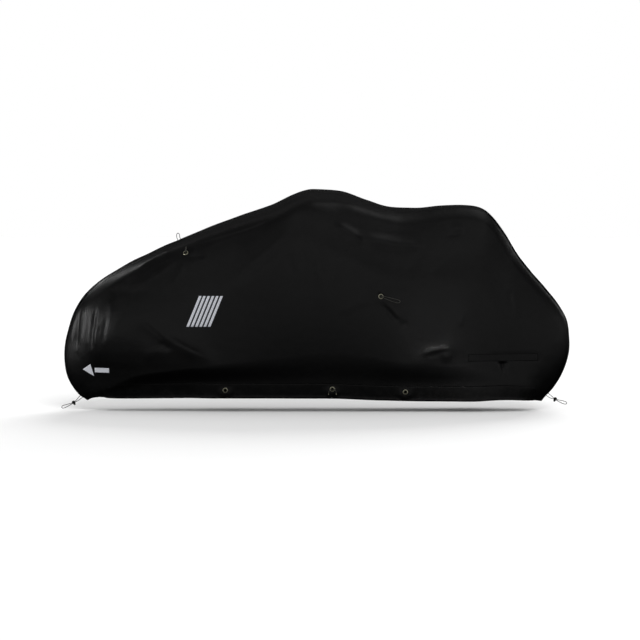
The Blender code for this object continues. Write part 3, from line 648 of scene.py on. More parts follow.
cordRoutes = {
    "frontDrawcord": [
        (-1.1341, -0.006, 0.0763), (-1.1500, -0.007, 0.0575), (-1.1634, -0.008, 0.0431), (-1.1720, -0.008, 0.0380),
        (-1.1806, -0.008, 0.0329), (-1.1960, -0.009, 0.0292), (-1.2120, -0.010, 0.0252), (-1.2253, -0.011, 0.0200),
        (-1.2285, -0.011, 0.0122), (-1.2207, -0.011, 0.0090), (-1.2050, -0.010, 0.0152), (-1.1910, -0.009, 0.0228),
        (-1.1786, -0.008, 0.0297), (-1.1700, -0.008, 0.0348), (-1.1614, -0.008, 0.0399), (-1.1460, -0.007, 0.0480),
        (-1.1217, -0.006, 0.0670),
    ],
    "rearDrawcord": [
        (1.1286, -0.006, 0.0834), (1.1440, -0.007, 0.0712), (1.1585, -0.008, 0.0589), (1.1664, -0.008, 0.0547),
        (1.1743, -0.008, 0.0505), (1.1880, -0.009, 0.0475), (1.2030, -0.010, 0.0445), (1.2177, -0.011, 0.0396),
        (1.2212, -0.011, 0.0319), (1.2135, -0.011, 0.0284), (1.1990, -0.010, 0.0330), (1.1850, -0.009, 0.0395),
        (1.1725, -0.008, 0.0471), (1.1646, -0.008, 0.0513), (1.1567, -0.008, 0.0555), (1.1400, -0.007, 0.0590),
        (1.1188, -0.006, 0.0729),
    ],
    "topLoop": [
        (-0.6652, 0.012, 0.8230), (-0.6690, 0.012, 0.8330), (-0.6712, 0.013, 0.8439), (-0.6693, 0.013, 0.8541),
        (-0.6640, 0.013, 0.8575), (-0.6581, 0.013, 0.8526), (-0.6562, 0.012, 0.8415), (-0.6528, 0.012, 0.8283),
    ],
}
# Routes through an eyelet are in its own frame: along the cover, up the cloth and outwards.
strandEnd = -0.0031
eyeletRoutes = {
    "upperLoop": [
        (0.0000, -0.0020, strandEnd), (0.0000, -0.0020, 0.0010), (0.0005, -0.0022, 0.0060),
        (0.0018, 0.0030, 0.0125), (0.0035, 0.0130, 0.0150), (0.0048, 0.0208, 0.0147), (0.0055, 0.0258, 0.0128),
        (0.0058, 0.0277, 0.0096), (0.0056, 0.0258, 0.0064), (0.0048, 0.0208, 0.0049), (0.0036, 0.0140, 0.0051),
        (0.0024, 0.0080, 0.0056), (0.0010, 0.0036, 0.0042), (0.0000, 0.0020, 0.0010), (0.0000, 0.0020, strandEnd),
    ],
    "middleLoop": [
        (0.0000, 0.0020, strandEnd), (0.0000, 0.0020, 0.0010), (0.0040, 0.0018, 0.0048), (0.0120, 0.0010, 0.0056),
        (0.0240, -0.0020, 0.0048), (0.0430, -0.0062, 0.0034), (0.0650, -0.0120, 0.0025), (0.0840, -0.0170, 0.0018),
        (0.0930, -0.0230, 0.0013), (0.0900, -0.0300, 0.0011), (0.0800, -0.0310, 0.0012), (0.0640, -0.0270, 0.0018),
        (0.0440, -0.0200, 0.0030), (0.0260, -0.0130, 0.0044), (0.0120, -0.0060, 0.0056), (0.0040, -0.0028, 0.0048),
        (0.0000, -0.0020, 0.0010), (0.0000, -0.0020, strandEnd),
    ],
    "hemTie": [
        (-0.0170, -0.0175, 0.0042), (-0.0160, -0.0120, 0.0046), (-0.0130, -0.0040, 0.0050),
        (-0.0080, 0.0010, 0.0054), (-0.0034, 0.0012, 0.0044), (-0.0020, 0.0005, -0.0005),
        (-0.0022, 0.0000, -0.0060), (-0.0046, 0.0000, -0.0115), (-0.0044, 0.0000, -0.0160),
        (0.0000, 0.0000, -0.0185), (0.0044, 0.0000, -0.0160), (0.0046, 0.0000, -0.0115), (0.0022, 0.0000, -0.0060),
        (0.0020, 0.0005, -0.0005), (0.0034, 0.0012, 0.0044), (0.0080, 0.0010, 0.0054), (0.0140, -0.0040, 0.0050),
        (0.0172, -0.0125, 0.0046), (0.0182, -0.0190, 0.0042),
    ],
}
routeEyelets = {"upperLoop": "eyelet_upper_front", "middleLoop": "eyelet_middle", "hemTie": "eyelet_hem_left_mid"}
for routeName, eyeletName in routeEyelets.items():
    place = eyeletFrames[eyeletName]
    cordRoutes[routeName] = [tuple(place @ Vector(point)) for point in eyeletRoutes[routeName]]

cordSizes = {"radius": 0.0015, "around": 12, "ring": 0.0015}  # and facets around, and length of a ring of them
anyWay = (0.31, 0.52, 0.79)  # a direction that no cord starts in
cordPieces = {
    "frontDrawcord": {"replaces": "front_drawcord", "farEnd": "object", "with": ["front_cord_lock"]},
    "rearDrawcord": {"replaces": "rear_drawcord", "farEnd": "object", "with": ["rear_cord_lock"]},
    "topLoop": {"replaces": "top_loop", "farEnd": "object", "with": []},
    "upperLoop": {"replaces": "upper_loop", "farEnd": "knot", "with": ["upperKnot"]},
    "middleLoop": {"replaces": "middle_loop", "farEnd": "knot", "with": ["middleKnot"]},
    "hemTie": {
        "replaces": "hem_tie",
        "farEnd": "fitting",
        "with": ["hem_tie_tip_front", "hem_tie_tip_rear"],
        "exit": 4,  # the point of its route at the eyelet's face; the others leave at their first point
    },
}
cordMat = cordMaterial("braidedCord", (0.007, 0.007, 0.008), (0.022, 0.022, 0.023))
paleCordMat = cordMaterial("paleCord", (0.06, 0.06, 0.054), (0.17, 0.17, 0.15))


def tube(centreline, radius, around):
    # a grid wrapped round a centreline, joined along its edge and closed at both ends
    count = len(centreline)
    tangents = np.gradient(centreline, axis=0)
    tangents /= np.linalg.norm(tangents, axis=1)[:, None]
    sideways = np.cross(tangents[0], anyWay)
    frames = []
    for tangent in tangents:
        sideways = sideways - tangent * np.dot(sideways, tangent)
        sideways /= np.linalg.norm(sideways)
        frames.append((sideways, np.cross(tangent, sideways)))
    along = chords(centreline)
    bm = bmesh.new()
    bmesh.ops.create_grid(bm, x_segments=around, y_segments=count - 1, size=0.5)
    layer = bm.loops.layers.uv.new("cloth")
    for face in bm.faces:
        for loop in face.loops:
            row = round((loop.vert.co.y + 0.5) * (count - 1))
            loop[layer].uv = (loop.vert.co.x + 0.5, along[row])
    for vertex in bm.verts:
        row = round((vertex.co.y + 0.5) * (count - 1))
        turn = (vertex.co.x + 0.5) * 2 * math.pi
        first, second = frames[row]
        vertex.co = Vector(centreline[row] + radius * (math.cos(turn) * first + math.sin(turn) * second))
    bmesh.ops.remove_doubles(bm, verts=bm.verts, dist=1e-6)
    bmesh.ops.holes_fill(bm, edges=[edge for edge in bm.edges if edge.is_boundary], sides=around)
    bmesh.ops.recalc_face_normals(bm, faces=bm.faces)
    return bm


knotLook = {
    "radius": 0.0062,
    "depth": 0.0085,
    "rings": 90,
    "endTurn": 0.04,  # angle by which its ends stop short of each other
    "top": strandEnd - 0.0005,
}


def makeKnot(name, eyeletName, replaced):
    # an overhand knot pulled tight behind its eyelet
    size = knotLook
    turns = np.linspace(size["endTurn"], 2 * math.pi - size["endTurn"], size["rings"])
    spread = (size["radius"] - cordSizes["radius"]) / 3
    rise = size["depth"] / 2 - cordSizes["radius"]
    flat = [spread * (np.sin(turns) + 2 * np.sin(2 * turns)), spread * (np.cos(turns) - 2 * np.cos(2 * turns))]
    centreline = np.column_stack(flat + [-rise * np.sin(3 * turns)])
    bm = tube(centreline, cordSizes["radius"], cordSizes["around"])
    middle = Matrix.Translation((0, 0, size["top"] - size["depth"] / 2))
    bm.transform(lowered @ eyeletFrames[eyeletName] @ middle)
    finishPiece(name, bm, paleCordMat, [replaced])


def makeCord(name, settings):
    length = chords(spline(cordRoutes[name], 400))[-1]
    centreline = spline(cordRoutes[name], round(length / cordSizes["ring"]))
    centreline[:, 2] -= holdHeight
    bm = tube(centreline, cordSizes["radius"], cordSizes["around"])
    material = paleCordMat if name in routeEyelets else cordMat
    made = finishPiece(name, bm, material, [settings["replaces"]])
    tuple(toFrame(cordRoutes[name][settings.get("exit", 0)]))


print("cords")
makeKnot("upperKnot", "eyelet_upper_front", "upper_knot")
makeKnot("middleKnot", "eyelet_middle", "middle_knot")
for cordName, cordSettings in cordPieces.items():
    makeCord(cordName, cordSettings)

# Folds of the two sides, each along a path in side view. A ridge rises and a trough sinks; reach
# is how far it spreads, and sharp, from 0 to 1, makes its crest a crease. left is how many times
# further it spreads on the left of its path, for a fold that is steep on one side only.

Fold = namedtuple("Fold", "path reach rise sharp left", defaults=(1.0,))
solidFolds = [  # broad folds, as on the solids but softer where finer ones stand on them
    Fold([(-0.825, 0.452), (-0.500, 0.245)], 0.050, 0.004, 0),
    Fold([(-0.790, 0.370), (-0.600, 0.255)], 0.045, -0.003, 0),
    Fold([(-0.380, 0.630), (-0.140, 0.850)], 0.055, 0.002, 0),
    Fold([(-0.120, 0.780), (-0.100, 0.600)], 0.045, -0.001, 0),
    Fold([(0.025, 0.820), (0.030, 0.560)], 0.045, 0.002, 0),
    Fold([(0.320, 0.515), (0.415, 0.420)], 0.045, -0.002, 0),
    Fold([(0.500, 0.260), (0.640, 0.310)], 0.045, 0.005, 0),
    Fold([(0.640, 0.870), (0.720, 0.840)], 0.050, -0.002, 0),
]
mainFolds = [
    # slanting ridge low on the front, with its hook, troughs and pocket
    Fold([(-0.822, 0.453), (-0.719, 0.364), (-0.616, 0.301), (-0.509, 0.250)], 0.018, 0.0026, 0.0),
    Fold([(-0.697, 0.372), (-0.645, 0.340), (-0.601, 0.316), (-0.520, 0.276)], 0.006, -0.0028, 0.3),
    Fold([(-0.826, 0.446), (-0.760, 0.392), (-0.696, 0.335), (-0.640, 0.290)], 0.006, -0.0030, 0.3),
    Fold([(-0.826, 0.455), (-0.816, 0.470), (-0.796, 0.474)], 0.007, 0.0025, 0.3),
    Fold([(-0.740, 0.348), (-0.708, 0.328), (-0.676, 0.303)], 0.030, -0.0060, 0.2, 0.22),
    Fold([(-0.680, 0.300), (-0.750, 0.292), (-0.830, 0.262)], 0.030, 0.0045, 0.1),
    # pulls round the upper eyelet
    Fold(
        [(-0.577, 0.793), (-0.529, 0.820), (-0.436, 0.851), (-0.344, 0.878), (-0.257, 0.909), (-0.170, 0.951)],
        0.009, -0.0036, 0.5, 1.8,
    ),
    Fold([(-0.560, 0.775), (-0.436, 0.828), (-0.315, 0.868), (-0.200, 0.918)], 0.012, 0.0020, 0.3),
    Fold([(-0.605, 0.752), (-0.572, 0.744), (-0.524, 0.742)], 0.009, -0.0060, 0.3, 2.2),
    Fold([(-0.600, 0.734), (-0.560, 0.727), (-0.520, 0.722)], 0.008, 0.0040, 0.4, 2.0),
    Fold([(-0.640, 0.771), (-0.728, 0.761), (-0.800, 0.718), (-0.868, 0.669)], 0.012, 0.0034, 0.5),
    Fold([(-0.645, 0.757), (-0.728, 0.723), (-0.810, 0.669)], 0.012, -0.0026, 0.3),
    Fold([(-0.645, 0.742), (-0.713, 0.689), (-0.800, 0.621)], 0.014, 0.0030, 0.4),
    Fold([(-0.626, 0.728), (-0.640, 0.669), (-0.694, 0.601)], 0.016, 0.0024, 0.3),
    # slanting ridge under the front slope
    Fold([(-0.393, 0.631), (-0.306, 0.708), (-0.218, 0.781), (-0.126, 0.866), (-0.073, 0.917)], 0.014, 0.0032, 0.5),
    Fold([(-0.364, 0.616), (-0.257, 0.713), (-0.160, 0.800)], 0.018, -0.0024, 0.2),
    # folds that hang from the crest
    Fold([(0.015, 0.834), (0.019, 0.718), (0.029, 0.572)], 0.018, 0.0032, 0.3),
    Fold([(-0.039, 0.897), (-0.053, 0.776), (-0.073, 0.669)], 0.018, -0.0028, 0.3),
    Fold([(-0.116, 0.776), (-0.116, 0.655)], 0.014, -0.0024, 0.3),
    Fold([(0.055, 0.800), (0.058, 0.620)], 0.012, -0.0020, 0.3),
    Fold([(0.095, 0.776), (0.090, 0.582)], 0.016, 0.0020, 0.2),
    # bands behind the crest
    Fold([(0.095, 0.990), (0.170, 0.975), (0.267, 0.945), (0.373, 0.912), (0.430, 0.896)], 0.046, 0.010, 0.0),
    Fold([(0.112, 0.924), (0.218, 0.890), (0.364, 0.866), (0.509, 0.856)], 0.030, -0.0035, 0.0),
    Fold([(0.092, 0.900), (0.140, 0.872), (0.185, 0.842), (0.226, 0.806)], 0.026, 0.011, 0.1),
    Fold([(0.209, 0.830), (0.286, 0.822), (0.403, 0.800), (0.529, 0.794)], 0.030, 0.010, 0.1),
    # pulls round the middle eyelet
    Fold([(0.335, 0.572), (0.373, 0.606), (0.432, 0.669), (0.500, 0.747), (0.587, 0.795)], 0.014, 0.0028, 0.4),
    Fold([(0.364, 0.567), (0.436, 0.616), (0.514, 0.640), (0.597, 0.698), (0.664, 0.766)], 0.014, 0.0026, 0.4),
    Fold([(0.316, 0.524), (0.346, 0.490), (0.378, 0.452), (0.400, 0.430)], 0.0070, -0.0088, 0.4, 1.5),
    Fold([(0.338, 0.528), (0.367, 0.499), (0.400, 0.460), (0.424, 0.444)], 0.009, 0.0050, 0.4),
    Fold([(0.396, 0.424), (0.424, 0.422), (0.432, 0.448)], 0.0065, -0.0050, 0.4),
    Fold([(0.286, 0.548), (0.194, 0.519), (0.097, 0.475)], 0.016, 0.0016, 0.4),
    Fold([(0.300, 0.575), (0.240, 0.640), (0.190, 0.700)], 0.016, 0.0016, 0.3),
    # small creases towards the rear
    Fold([(0.622, 0.844), (0.665, 0.852), (0.718, 0.864)], 0.008, -0.0028, 0.5, 1.6),
    Fold([(0.655, 0.880), (0.713, 0.892)], 0.018, 0.003, 0.3),
    Fold([(0.377, 0.709), (0.378, 0.680)], 0.012, 0.002, 0.3),
    Fold([(0.520, 0.690), (0.560, 0.665), (0.600, 0.640)], 0.016, 0.0016, 0.3),
    Fold([(0.715, 0.490), (0.701, 0.446), (0.689, 0.407)], 0.011, 0.0034, 0.4),
    Fold([(0.933, 0.592), (0.934, 0.543), (0.936, 0.506)], 0.011, 0.0036, 0.4),
    Fold([(0.960, 0.533), (0.965, 0.446)], 0.014, -0.0020, 0.3),
    Fold([(0.500, 0.266), (0.547, 0.294), (0.600, 0.303), (0.655, 0.309)], 0.007, 0.0066, 0.3, 1.9),
    Fold([(0.540, 0.270), (0.562, 0.272), (0.590, 0.284)], 0.007, -0.0022, 0.2),
    Fold([(0.600, 0.274), (0.655, 0.268)], 0.026, 0.0060, 0.1),
    # the mouth under the flap, and the crease below it
    Fold([(0.930, 0.238), (0.868, 0.238)], 0.008, -0.0080, 0.2, 3.2),
    Fold([(0.908, 0.229), (0.888, 0.229)], 0.014, -0.0120, 0.3, 1.6),
    Fold([(0.9200, 0.226), (0.9205, 0.150)], 0.0050, -0.0024, 0.5),
    Fold([(0.9345, 0.216), (0.9350, 0.152)], 0.0040, -0.0006, 0.3),
    # upright folds of the nose
    Fold([(-1.158, 0.480), (-1.169, 0.388), (-1.173, 0.290)], 0.008, 0.0020, 0.2),
    Fold([(-1.130, 0.500), (-1.142, 0.400), (-1.146, 0.290)], 0.010, -0.0050, 0.3),
    Fold([(-1.106, 0.470), (-1.117, 0.390), (-1.121, 0.300)], 0.010, 0.0012, 0.2),
    Fold([(-1.094, 0.430), (-1.103, 0.380), (-1.107, 0.320)], 0.006, -0.0005, 0.3),
    Fold([(-1.068, 0.480), (-1.080, 0.400), (-1.086, 0.310)], 0.012, 0.0010, 0.0),
    Fold([(-1.044, 0.520), (-1.057, 0.400), (-1.062, 0.290)], 0.008, -0.0060, 0.3),
    Fold([(-1.026, 0.430), (-1.038, 0.382), (-1.042, 0.300)], 0.008, 0.0036, 0.2),
    Fold([(-0.990, 0.460), (-1.000, 0.388), (-1.005, 0.320)], 0.009, -0.0032, 0.3),
    Fold([(-0.990, 0.545), (-0.975, 0.500), (-0.960, 0.450)], 0.016, 0.0018, 0.2),
]
rightFolds = [  # softer and fewer: the photograph doesn't show this side
    Fold([(-0.800, 0.480), (-0.690, 0.390), (-0.560, 0.310), (-0.460, 0.270)], 0.028, 0.0060, 0.0),
    Fold([(-0.760, 0.520), (-0.640, 0.430), (-0.520, 0.350)], 0.026, -0.0030, 0.0),
    Fold([(-0.380, 0.600), (-0.280, 0.700), (-0.180, 0.800), (-0.090, 0.900)], 0.028, 0.0040, 0.1),
    Fold([(-0.300, 0.580), (-0.200, 0.690), (-0.110, 0.790)], 0.026, -0.0028, 0.0),
    Fold([(0.000, 0.860), (0.010, 0.720), (0.030, 0.560)], 0.030, 0.0034, 0.1),
    Fold([(-0.070, 0.820), (-0.090, 0.700), (-0.110, 0.600)], 0.026, -0.0026, 0.0),
    Fold([(0.100, 0.960), (0.220, 0.930), (0.360, 0.900), (0.460, 0.890)], 0.040, 0.0080, 0.0),
    Fold([(0.200, 0.800), (0.320, 0.790), (0.450, 0.800), (0.560, 0.820)], 0.034, 0.0060, 0.0),
    Fold([(0.330, 0.560), (0.440, 0.650), (0.540, 0.740), (0.640, 0.820)], 0.030, 0.0040, 0.1),
    Fold([(0.520, 0.300), (0.600, 0.360), (0.660, 0.440)], 0.030, 0.0042, 0.1),
    Fold([(0.780, 0.700), (0.800, 0.560), (0.790, 0.430)], 0.030, 0.0034, 0.0),
    Fold([(0.960, 0.620), (0.975, 0.500), (0.970, 0.380)], 0.028, 0.0036, 0.0),
    Fold([(-1.030, 0.540), (-1.045, 0.430), (-1.050, 0.320)], 0.022, 0.0034, 0.0),
    Fold([(-1.090, 0.520), (-1.105, 0.410), (-1.110, 0.300)], 0.022, -0.0030, 0.0),
    Fold([(-0.960, 0.560), (-0.950, 0.460), (-0.955, 0.380)], 0.026, 0.0028, 0.0),
]


def nearPath(places, path):
    # distance of each place to a path, the share of the path's length there, and whether it lies left
    path = np.asarray(path, float)
    along = chords(path)
    best = np.full(len(places), 1e9)
    share = np.zeros(len(places))
    left = np.zeros(len(places))
    for start, end, done, toGo in zip(path, path[1:], along, along[1:]):
        run = end - start
        offset = places - start
        t = np.clip(offset @ run / (run @ run), 0, 1)
        away = np.linalg.norm(offset - t[:, None] * run, axis=1)
        closer = away < best
        best[closer] = away[closer]
        share[closer] = ((done + t * (toGo - done)) / along[-1])[closer]
        left[closer] = (run[0] * offset[:, 1] - run[1] * offset[:, 0] > 0)[closer]
    return best, share, left


def solidRelief(places, folds):
    lift = np.zeros(len(places))
    for fold in folds:
        away = nearPath(places, fold.path)[0]
        lift += fold.rise * np.exp(-((away / fold.reach) ** 2))
    return lift


foldForm = {
    "points": 14,  # on a curved path
    "end": 0.3,  # share of the path over which a fold comes in
    "narrow": 0.6,  # share of its reach at its very ends
    "steep": 2.2,  # of a crease's two sides
    "blunt": 0.02,  # roundness of its crest
    "crest": 0.1414,  # root of blunt, which brings the crest to its full rise
}


def foldRelief(places, folds):
    lift = np.zeros(len(places))
    for fold in folds:
        path = spline(fold.path, foldForm["points"]) if len(fold.path) > 2 else fold.path
        away, share, left = nearPath(places, path)
        ends = smoothStep(np.minimum(share, 1 - share) / foldForm["end"])
        reach = fold.reach * (1 + (fold.left - 1) * left)
        scaled = away / (reach * (foldForm["narrow"] + (1 - foldForm["narrow"]) * ends))
        soft = np.exp(-(scaled**2))
        sharp = np.exp(-np.sqrt(foldForm["steep"] * scaled**2 + foldForm["blunt"]) + foldForm["crest"])
        lift += fold.rise * ends * (soft + fold.sharp * (sharp - soft))
    return lift


sideShift = 40  # between the patterns of the two sides
unevenness = [  # how many to the metre along x and up, height, and where the pattern starts
    (2.2, 1.4, 0.0034, 3.1),
    (5.5, 2.4, 0.0009, 11.7),
    (16.0, 5.0, 0.0002, 27.3),
]


def slackRelief(places, side):
    lift = np.zeros(len(places))
    for perX, perHeight, rise, start in unevenness:
        shift = start + sideShift * side
        values = [noise.noise(Vector((x * perX, height * perHeight, shift))) for x, height in places]
        lift += rise * np.array(values)
    return lift


# Cloth pieces

clothSizes = {
    "thickness": 0.0008,
    "lap": 0.003,  # how far a panel's edge lies over its neighbour
    "lapRise": 0.0010,
    "lapZone": 0.045,  # over which the rise fades
    "seamGap": 0.00015,  # between the spine or a hem and the seam
    "foldFade": 0.05,  # how far from the seams the solid's folds are whole
    "slackFade": 0.03,  # and the finer ones
    "leanFade": 0.06,  # and the lean of the lower cloth
    "seatFlat": 0.016,  # flat round an eyelet
    "seatFade": 0.045,
    "hole": 0.0072,
    "bunching": 0.45,  # of a panel's rows towards both edges
}
calmZones = {  # how far nothing lifts the cloth off its solid, and over what the lift comes in
    "eyelet": (0.014, 0.030),
    "loop": (0.006, 0.020),
    "flap": (0.018, 0.010),
}
panelGrid = {leftSide: (340, 132), rightSide: (340, 80)}
hemGrid = (340, 20)
spineGrid = (340, 14)
flap = {
    "x": (0.731, 1.072),
    "height": (0.245, 0.281),
    "outer": 0.0011,  # over the smooth side
    "drop": 0.0004,  # of its rim
    "rim": 0.004,  # over which it drops
    "edge": 0.0030,  # width of its border painted darker, as the shade in the gap round it
    "knots": (12, 4),
    "grid": (140, 22),
}
turnIn = {  # the lower front leans out at its belly and in below it, by height, ahead of the eyelets
    "heights": (0.05, 0.10, 0.15, 0.20, 0.25, 0.30, 0.34, 0.44, 0.58),
    "lift": (-0.0190, -0.0170, -0.0130, -0.0060, 0.0070, 0.0170, 0.0190, 0.0110, 0.0),
    "x": (-1.16, -1.02, -0.62, -0.47),  # comes in, is whole, fades, is gone
}
hangOut = {  # the lower rear hangs straighter
    "heights": (0.05, 0.10, 0.16, 0.22, 0.27, 0.40),
    "lift": (0.0230, 0.0170, 0.0090, 0.0025, 0.0, 0.0),
    "x": (0.56, 0.80, 0.97, 1.09),
}


def rowShares(count):
    # rows a little closer together near both edges
    u = np.linspace(0, 1, count)
    return u - clothSizes["bunching"] * np.sin(2 * math.pi * u) / (2 * math.pi)


def beyond(away, zone):
    # 0 inside a calm zone, 1 well outside it
    flat, fade = calmZones[zone]
    return smoothStep((away - flat) / fade)


def calmNear(places, side):
    # 0 where nothing may lift the cloth: under the cords, the eyelets and the flap
    calm = np.ones(len(places))
    for eyelet in eyelets:
        if eyelet.side == side:
            calm *= beyond(np.linalg.norm(places - np.array([eyelet.x, eyelet.height]), axis=1), "eyelet")
    if side == leftSide:
        loop = np.array(cordRoutes["middleLoop"])[:, [0, 2]]
        calm *= beyond(nearPath(places, loop)[0], "loop")
        middle = sum(flap["height"]) / 2
        calm *= beyond(nearPath(places, [(x, middle) for x in flap["x"]])[0], "flap")
    return calm


def lowerRelief(places, band):
    start, whole, fading, end = band["x"]
    heights = band["heights"]
    x, height = places.T
    share = smoothStep((x - start) / (whole - start)) * smoothStep((end - x) / (end - fading))
    return share * smoothValues(heights, band["lift"], np.clip(height, heights[0], heights[-1]))


def looseness(places, side, calm, seamRoom):
    # what a panel and its hem have in common, so that they meet
    slack = slackRelief(places, side) * calm * smoothStep(seamRoom / clothSizes["slackFade"])
    lean = lowerRelief(places, turnIn) + lowerRelief(places, hangOut)
    return slack + lean * smoothStep(seamRoom / clothSizes["leanFade"])


def panelRelief(places, side, seamRoom, channelRoom):
    # how far the cloth stands off its smooth side
    room = np.minimum(seamRoom, channelRoom)
    calm = calmNear(places, side)
    lift = looseness(places, side, calm, seamRoom)
    if side == leftSide:
        lift += solidRelief(places, solidFolds) * np.clip(room / clothSizes["foldFade"], 0, 1)
    close = smoothStep(room / clothSizes["slackFade"])
    return lift + foldRelief(places, mainFolds if side == leftSide else rightFolds) * close * calm


def flattenSeats(points, side, cloth):
    flat, fade = clothSizes["seatFlat"], clothSizes["seatFade"]
    for eyelet in eyeletsIn(side, cloth):
        place = eyeletFrames[eyelet.name]
        outwards = np.array(place.to_3x3() @ Vector((0, 0, 1)))
        away = points - np.array(place.translation)
        height = away @ outwards
        spread = np.linalg.norm(away - height[..., None] * outwards, axis=-1)
        share = 1 - smoothStep((spread - flat) / (fade - flat))
        points -= outwards * (height * share * (spread < fade))[..., None]


def pierce(bm, grid, place):
    # a hole in place of the nearest point, with the eight points round it on its rim
    back = {cell: vertex for vertex, cell in grid.items()}
    nearest = min(bm.verts, key=lambda vertex: (vertex.co - place.translation).length_squared)
    column, row = grid[nearest]
    for i, j in itertools.product((-1, 0, 1), repeat=2):
        if i or j:
            rim = back[(column + i, row + j)]
            flat = place.inverted() @ rim.co
            flat.z = 0.0
            rim.co = place @ (flat.normalized() * clothSizes["hole"])
    bmesh.ops.delete(bm, geom=[nearest], context="VERTS")
    del grid[nearest]


def sheetPiece(name, points, outward, seams, material, replaced, side=None, cloth=None):
    # a grid laid on the points, pierced for its eyelets, with a thickness inwards
    columns, rows = points.shape[:2]
    distances = alongAndDown(points)
    bm = bmesh.new()
    bmesh.ops.create_grid(bm, x_segments=columns - 1, y_segments=rows - 1, size=0.5)
    layer = bm.loops.layers.uv.new("cloth")
    seamLayer = bm.verts.layers.float.new("seam")
    grid = {}
    for vertex in bm.verts:
        cell = round((vertex.co.x + 0.5) * (columns - 1)), round((vertex.co.y + 0.5) * (rows - 1))
        grid[vertex] = cell
        vertex.co = toFrame(points[cell])
        vertex[seamLayer] = float(seams[cell])
    for face in bm.faces:
        for loop in face.loops:
            loop[layer].uv = distances[grid[loop.vert]]
    bm.normal_update()
    centre = (columns // 2, rows // 2)
    middle = next(face for face in bm.faces if grid[face.verts[0]] == centre)
    if middle.normal.dot(Vector(outward[centre])) < 0:
        bmesh.ops.reverse_faces(bm, faces=bm.faces)
    for eyelet in eyeletsIn(side, cloth):
        pierce(bm, grid, lowered @ eyeletFrames[eyelet.name])
    made = finishPiece(name, bm, material, replaced)
    thicken(made, clothSizes["thickness"])
    return made


def alongAndDown(points):
    # distances along the piece's middle row and down each column, in metres
    middle = chords(points[:, points.shape[1] // 2])
    steps = np.linalg.norm(np.diff(points, axis=1), axis=2)
    down = np.concatenate([np.zeros((len(points), 1)), np.cumsum(steps, axis=1)], axis=1)
    return np.stack([np.repeat(middle[:, None], points.shape[1], axis=1), down], axis=2)


def sideGrid(side, columns, rows, lengthsAt):
    # points and normals on the smooth side, and each point's distance below the spine's seam,
    # above the hem channel's seam and above the lower edge
    points, normals = np.zeros((columns, rows, 3)), np.zeros((columns, rows, 3))
    rooms = np.zeros((3, columns, rows))
    for i, at in enumerate(np.linspace(0, 1, columns)):
        marks = shapes[side].marks(at)
        lengths = lengthsAt(marks)
        points[i], normals[i] = shapes[side].places(at, lengths)
        rooms[:, i] = lengths - marks.seam, marks.channel - lengths, marks.edge - lengths
    return points, normals, rooms


def makePanel(side, material):
    columns, rows = panelGrid[side]
    shares = rowShares(rows)

    def lengthsAt(marks):
        height = marks.channel - marks.seam
        lap = min(clothSizes["lap"], 0.1 * height)
        return marks.seam - lap + (height + 2 * lap) * shares

    points, normals, (seamRoom, channelRoom, _) = sideGrid(side, columns, rows, lengthsAt)
    places = points[..., [0, 2]].reshape(-1, 2)
    lift = panelRelief(places, side, seamRoom.ravel(), channelRoom.ravel()).reshape(columns, rows)
    nearest = np.minimum(seamRoom, channelRoom)
    lap = clothSizes["lapRise"] * (1 - smoothStep(nearest / clothSizes["lapZone"]))
    points = points + normals * (lift + lap)[..., None]
    flattenSeats(points, side, "panel")
    word = sideWords[side]
    replaced = ["side_panel_" + word.lower()]
    made = sheetPiece("panel" + word, points, normals, nearest, material, replaced, side, "panel")
    return made


hem = {
    "tubeHeight": 0.0065,  # middle of the rolled lower edge, above the edge
    "tubeReach": 0.0050,
    "tubeRise": 0.0014,
    "lean": 0.005,  # how far its lower edge comes in
    "gather": 0.0006,  # height of the waves towards both ends
    "gatherFrom": 0.80,
    "gatherFade": 0.25,
    "waves": 210.0,  # in radians to the metre, slowed and hurried by a longer wave
    "longWaves": 37.0,
    "unevenWaves": 2.0,
    "rowPower": 0.8,  # under 1 brings its rows together towards its lower edge
}


def makeHem(side, material):
    columns, rows = hemGrid
    shares = np.linspace(0, 1, rows) ** hem["rowPower"]
    gap = clothSizes["seamGap"]

    def lengthsAt(marks):
        return marks.channel + gap + (marks.edge - marks.channel - gap) * shares

    points, normals, (above, below, edge) = sideGrid(side, columns, rows, lengthsAt)
    places = points[..., [0, 2]].reshape(-1, 2)
    lift = looseness(places, side, calmNear(places, side), above.ravel()).reshape(columns, rows)
    roll = np.exp(-(((edge - hem["tubeHeight"]) / hem["tubeReach"]) ** 2))
    lift += hem["tubeRise"] * roll - hem["lean"] * smoothStep(-below / channelHeight)
    x = points[..., 0]
    gathered = smoothStep((np.abs(x) - hem["gatherFrom"]) / hem["gatherFade"])
    wave = np.sin(x * hem["waves"] + hem["unevenWaves"] * np.sin(x * hem["longWaves"]))
    lift += hem["gather"] * gathered * wave * smoothStep(-below / clothSizes["slackFade"])
    points = points + normals * lift[..., None]
    flattenSeats(points, side, "hem")
    word = sideWords[side]
    seams = np.minimum(-below, edge)
    made = sheetPiece("hem" + word, points, normals, seams, material, ["hem_" + word.lower()], side, "hem")
    return made


spineSlack = {"perMetre": (9, 22), "rise": 0.0022, "fade": 0.02}  # wrinkles along and across the strip


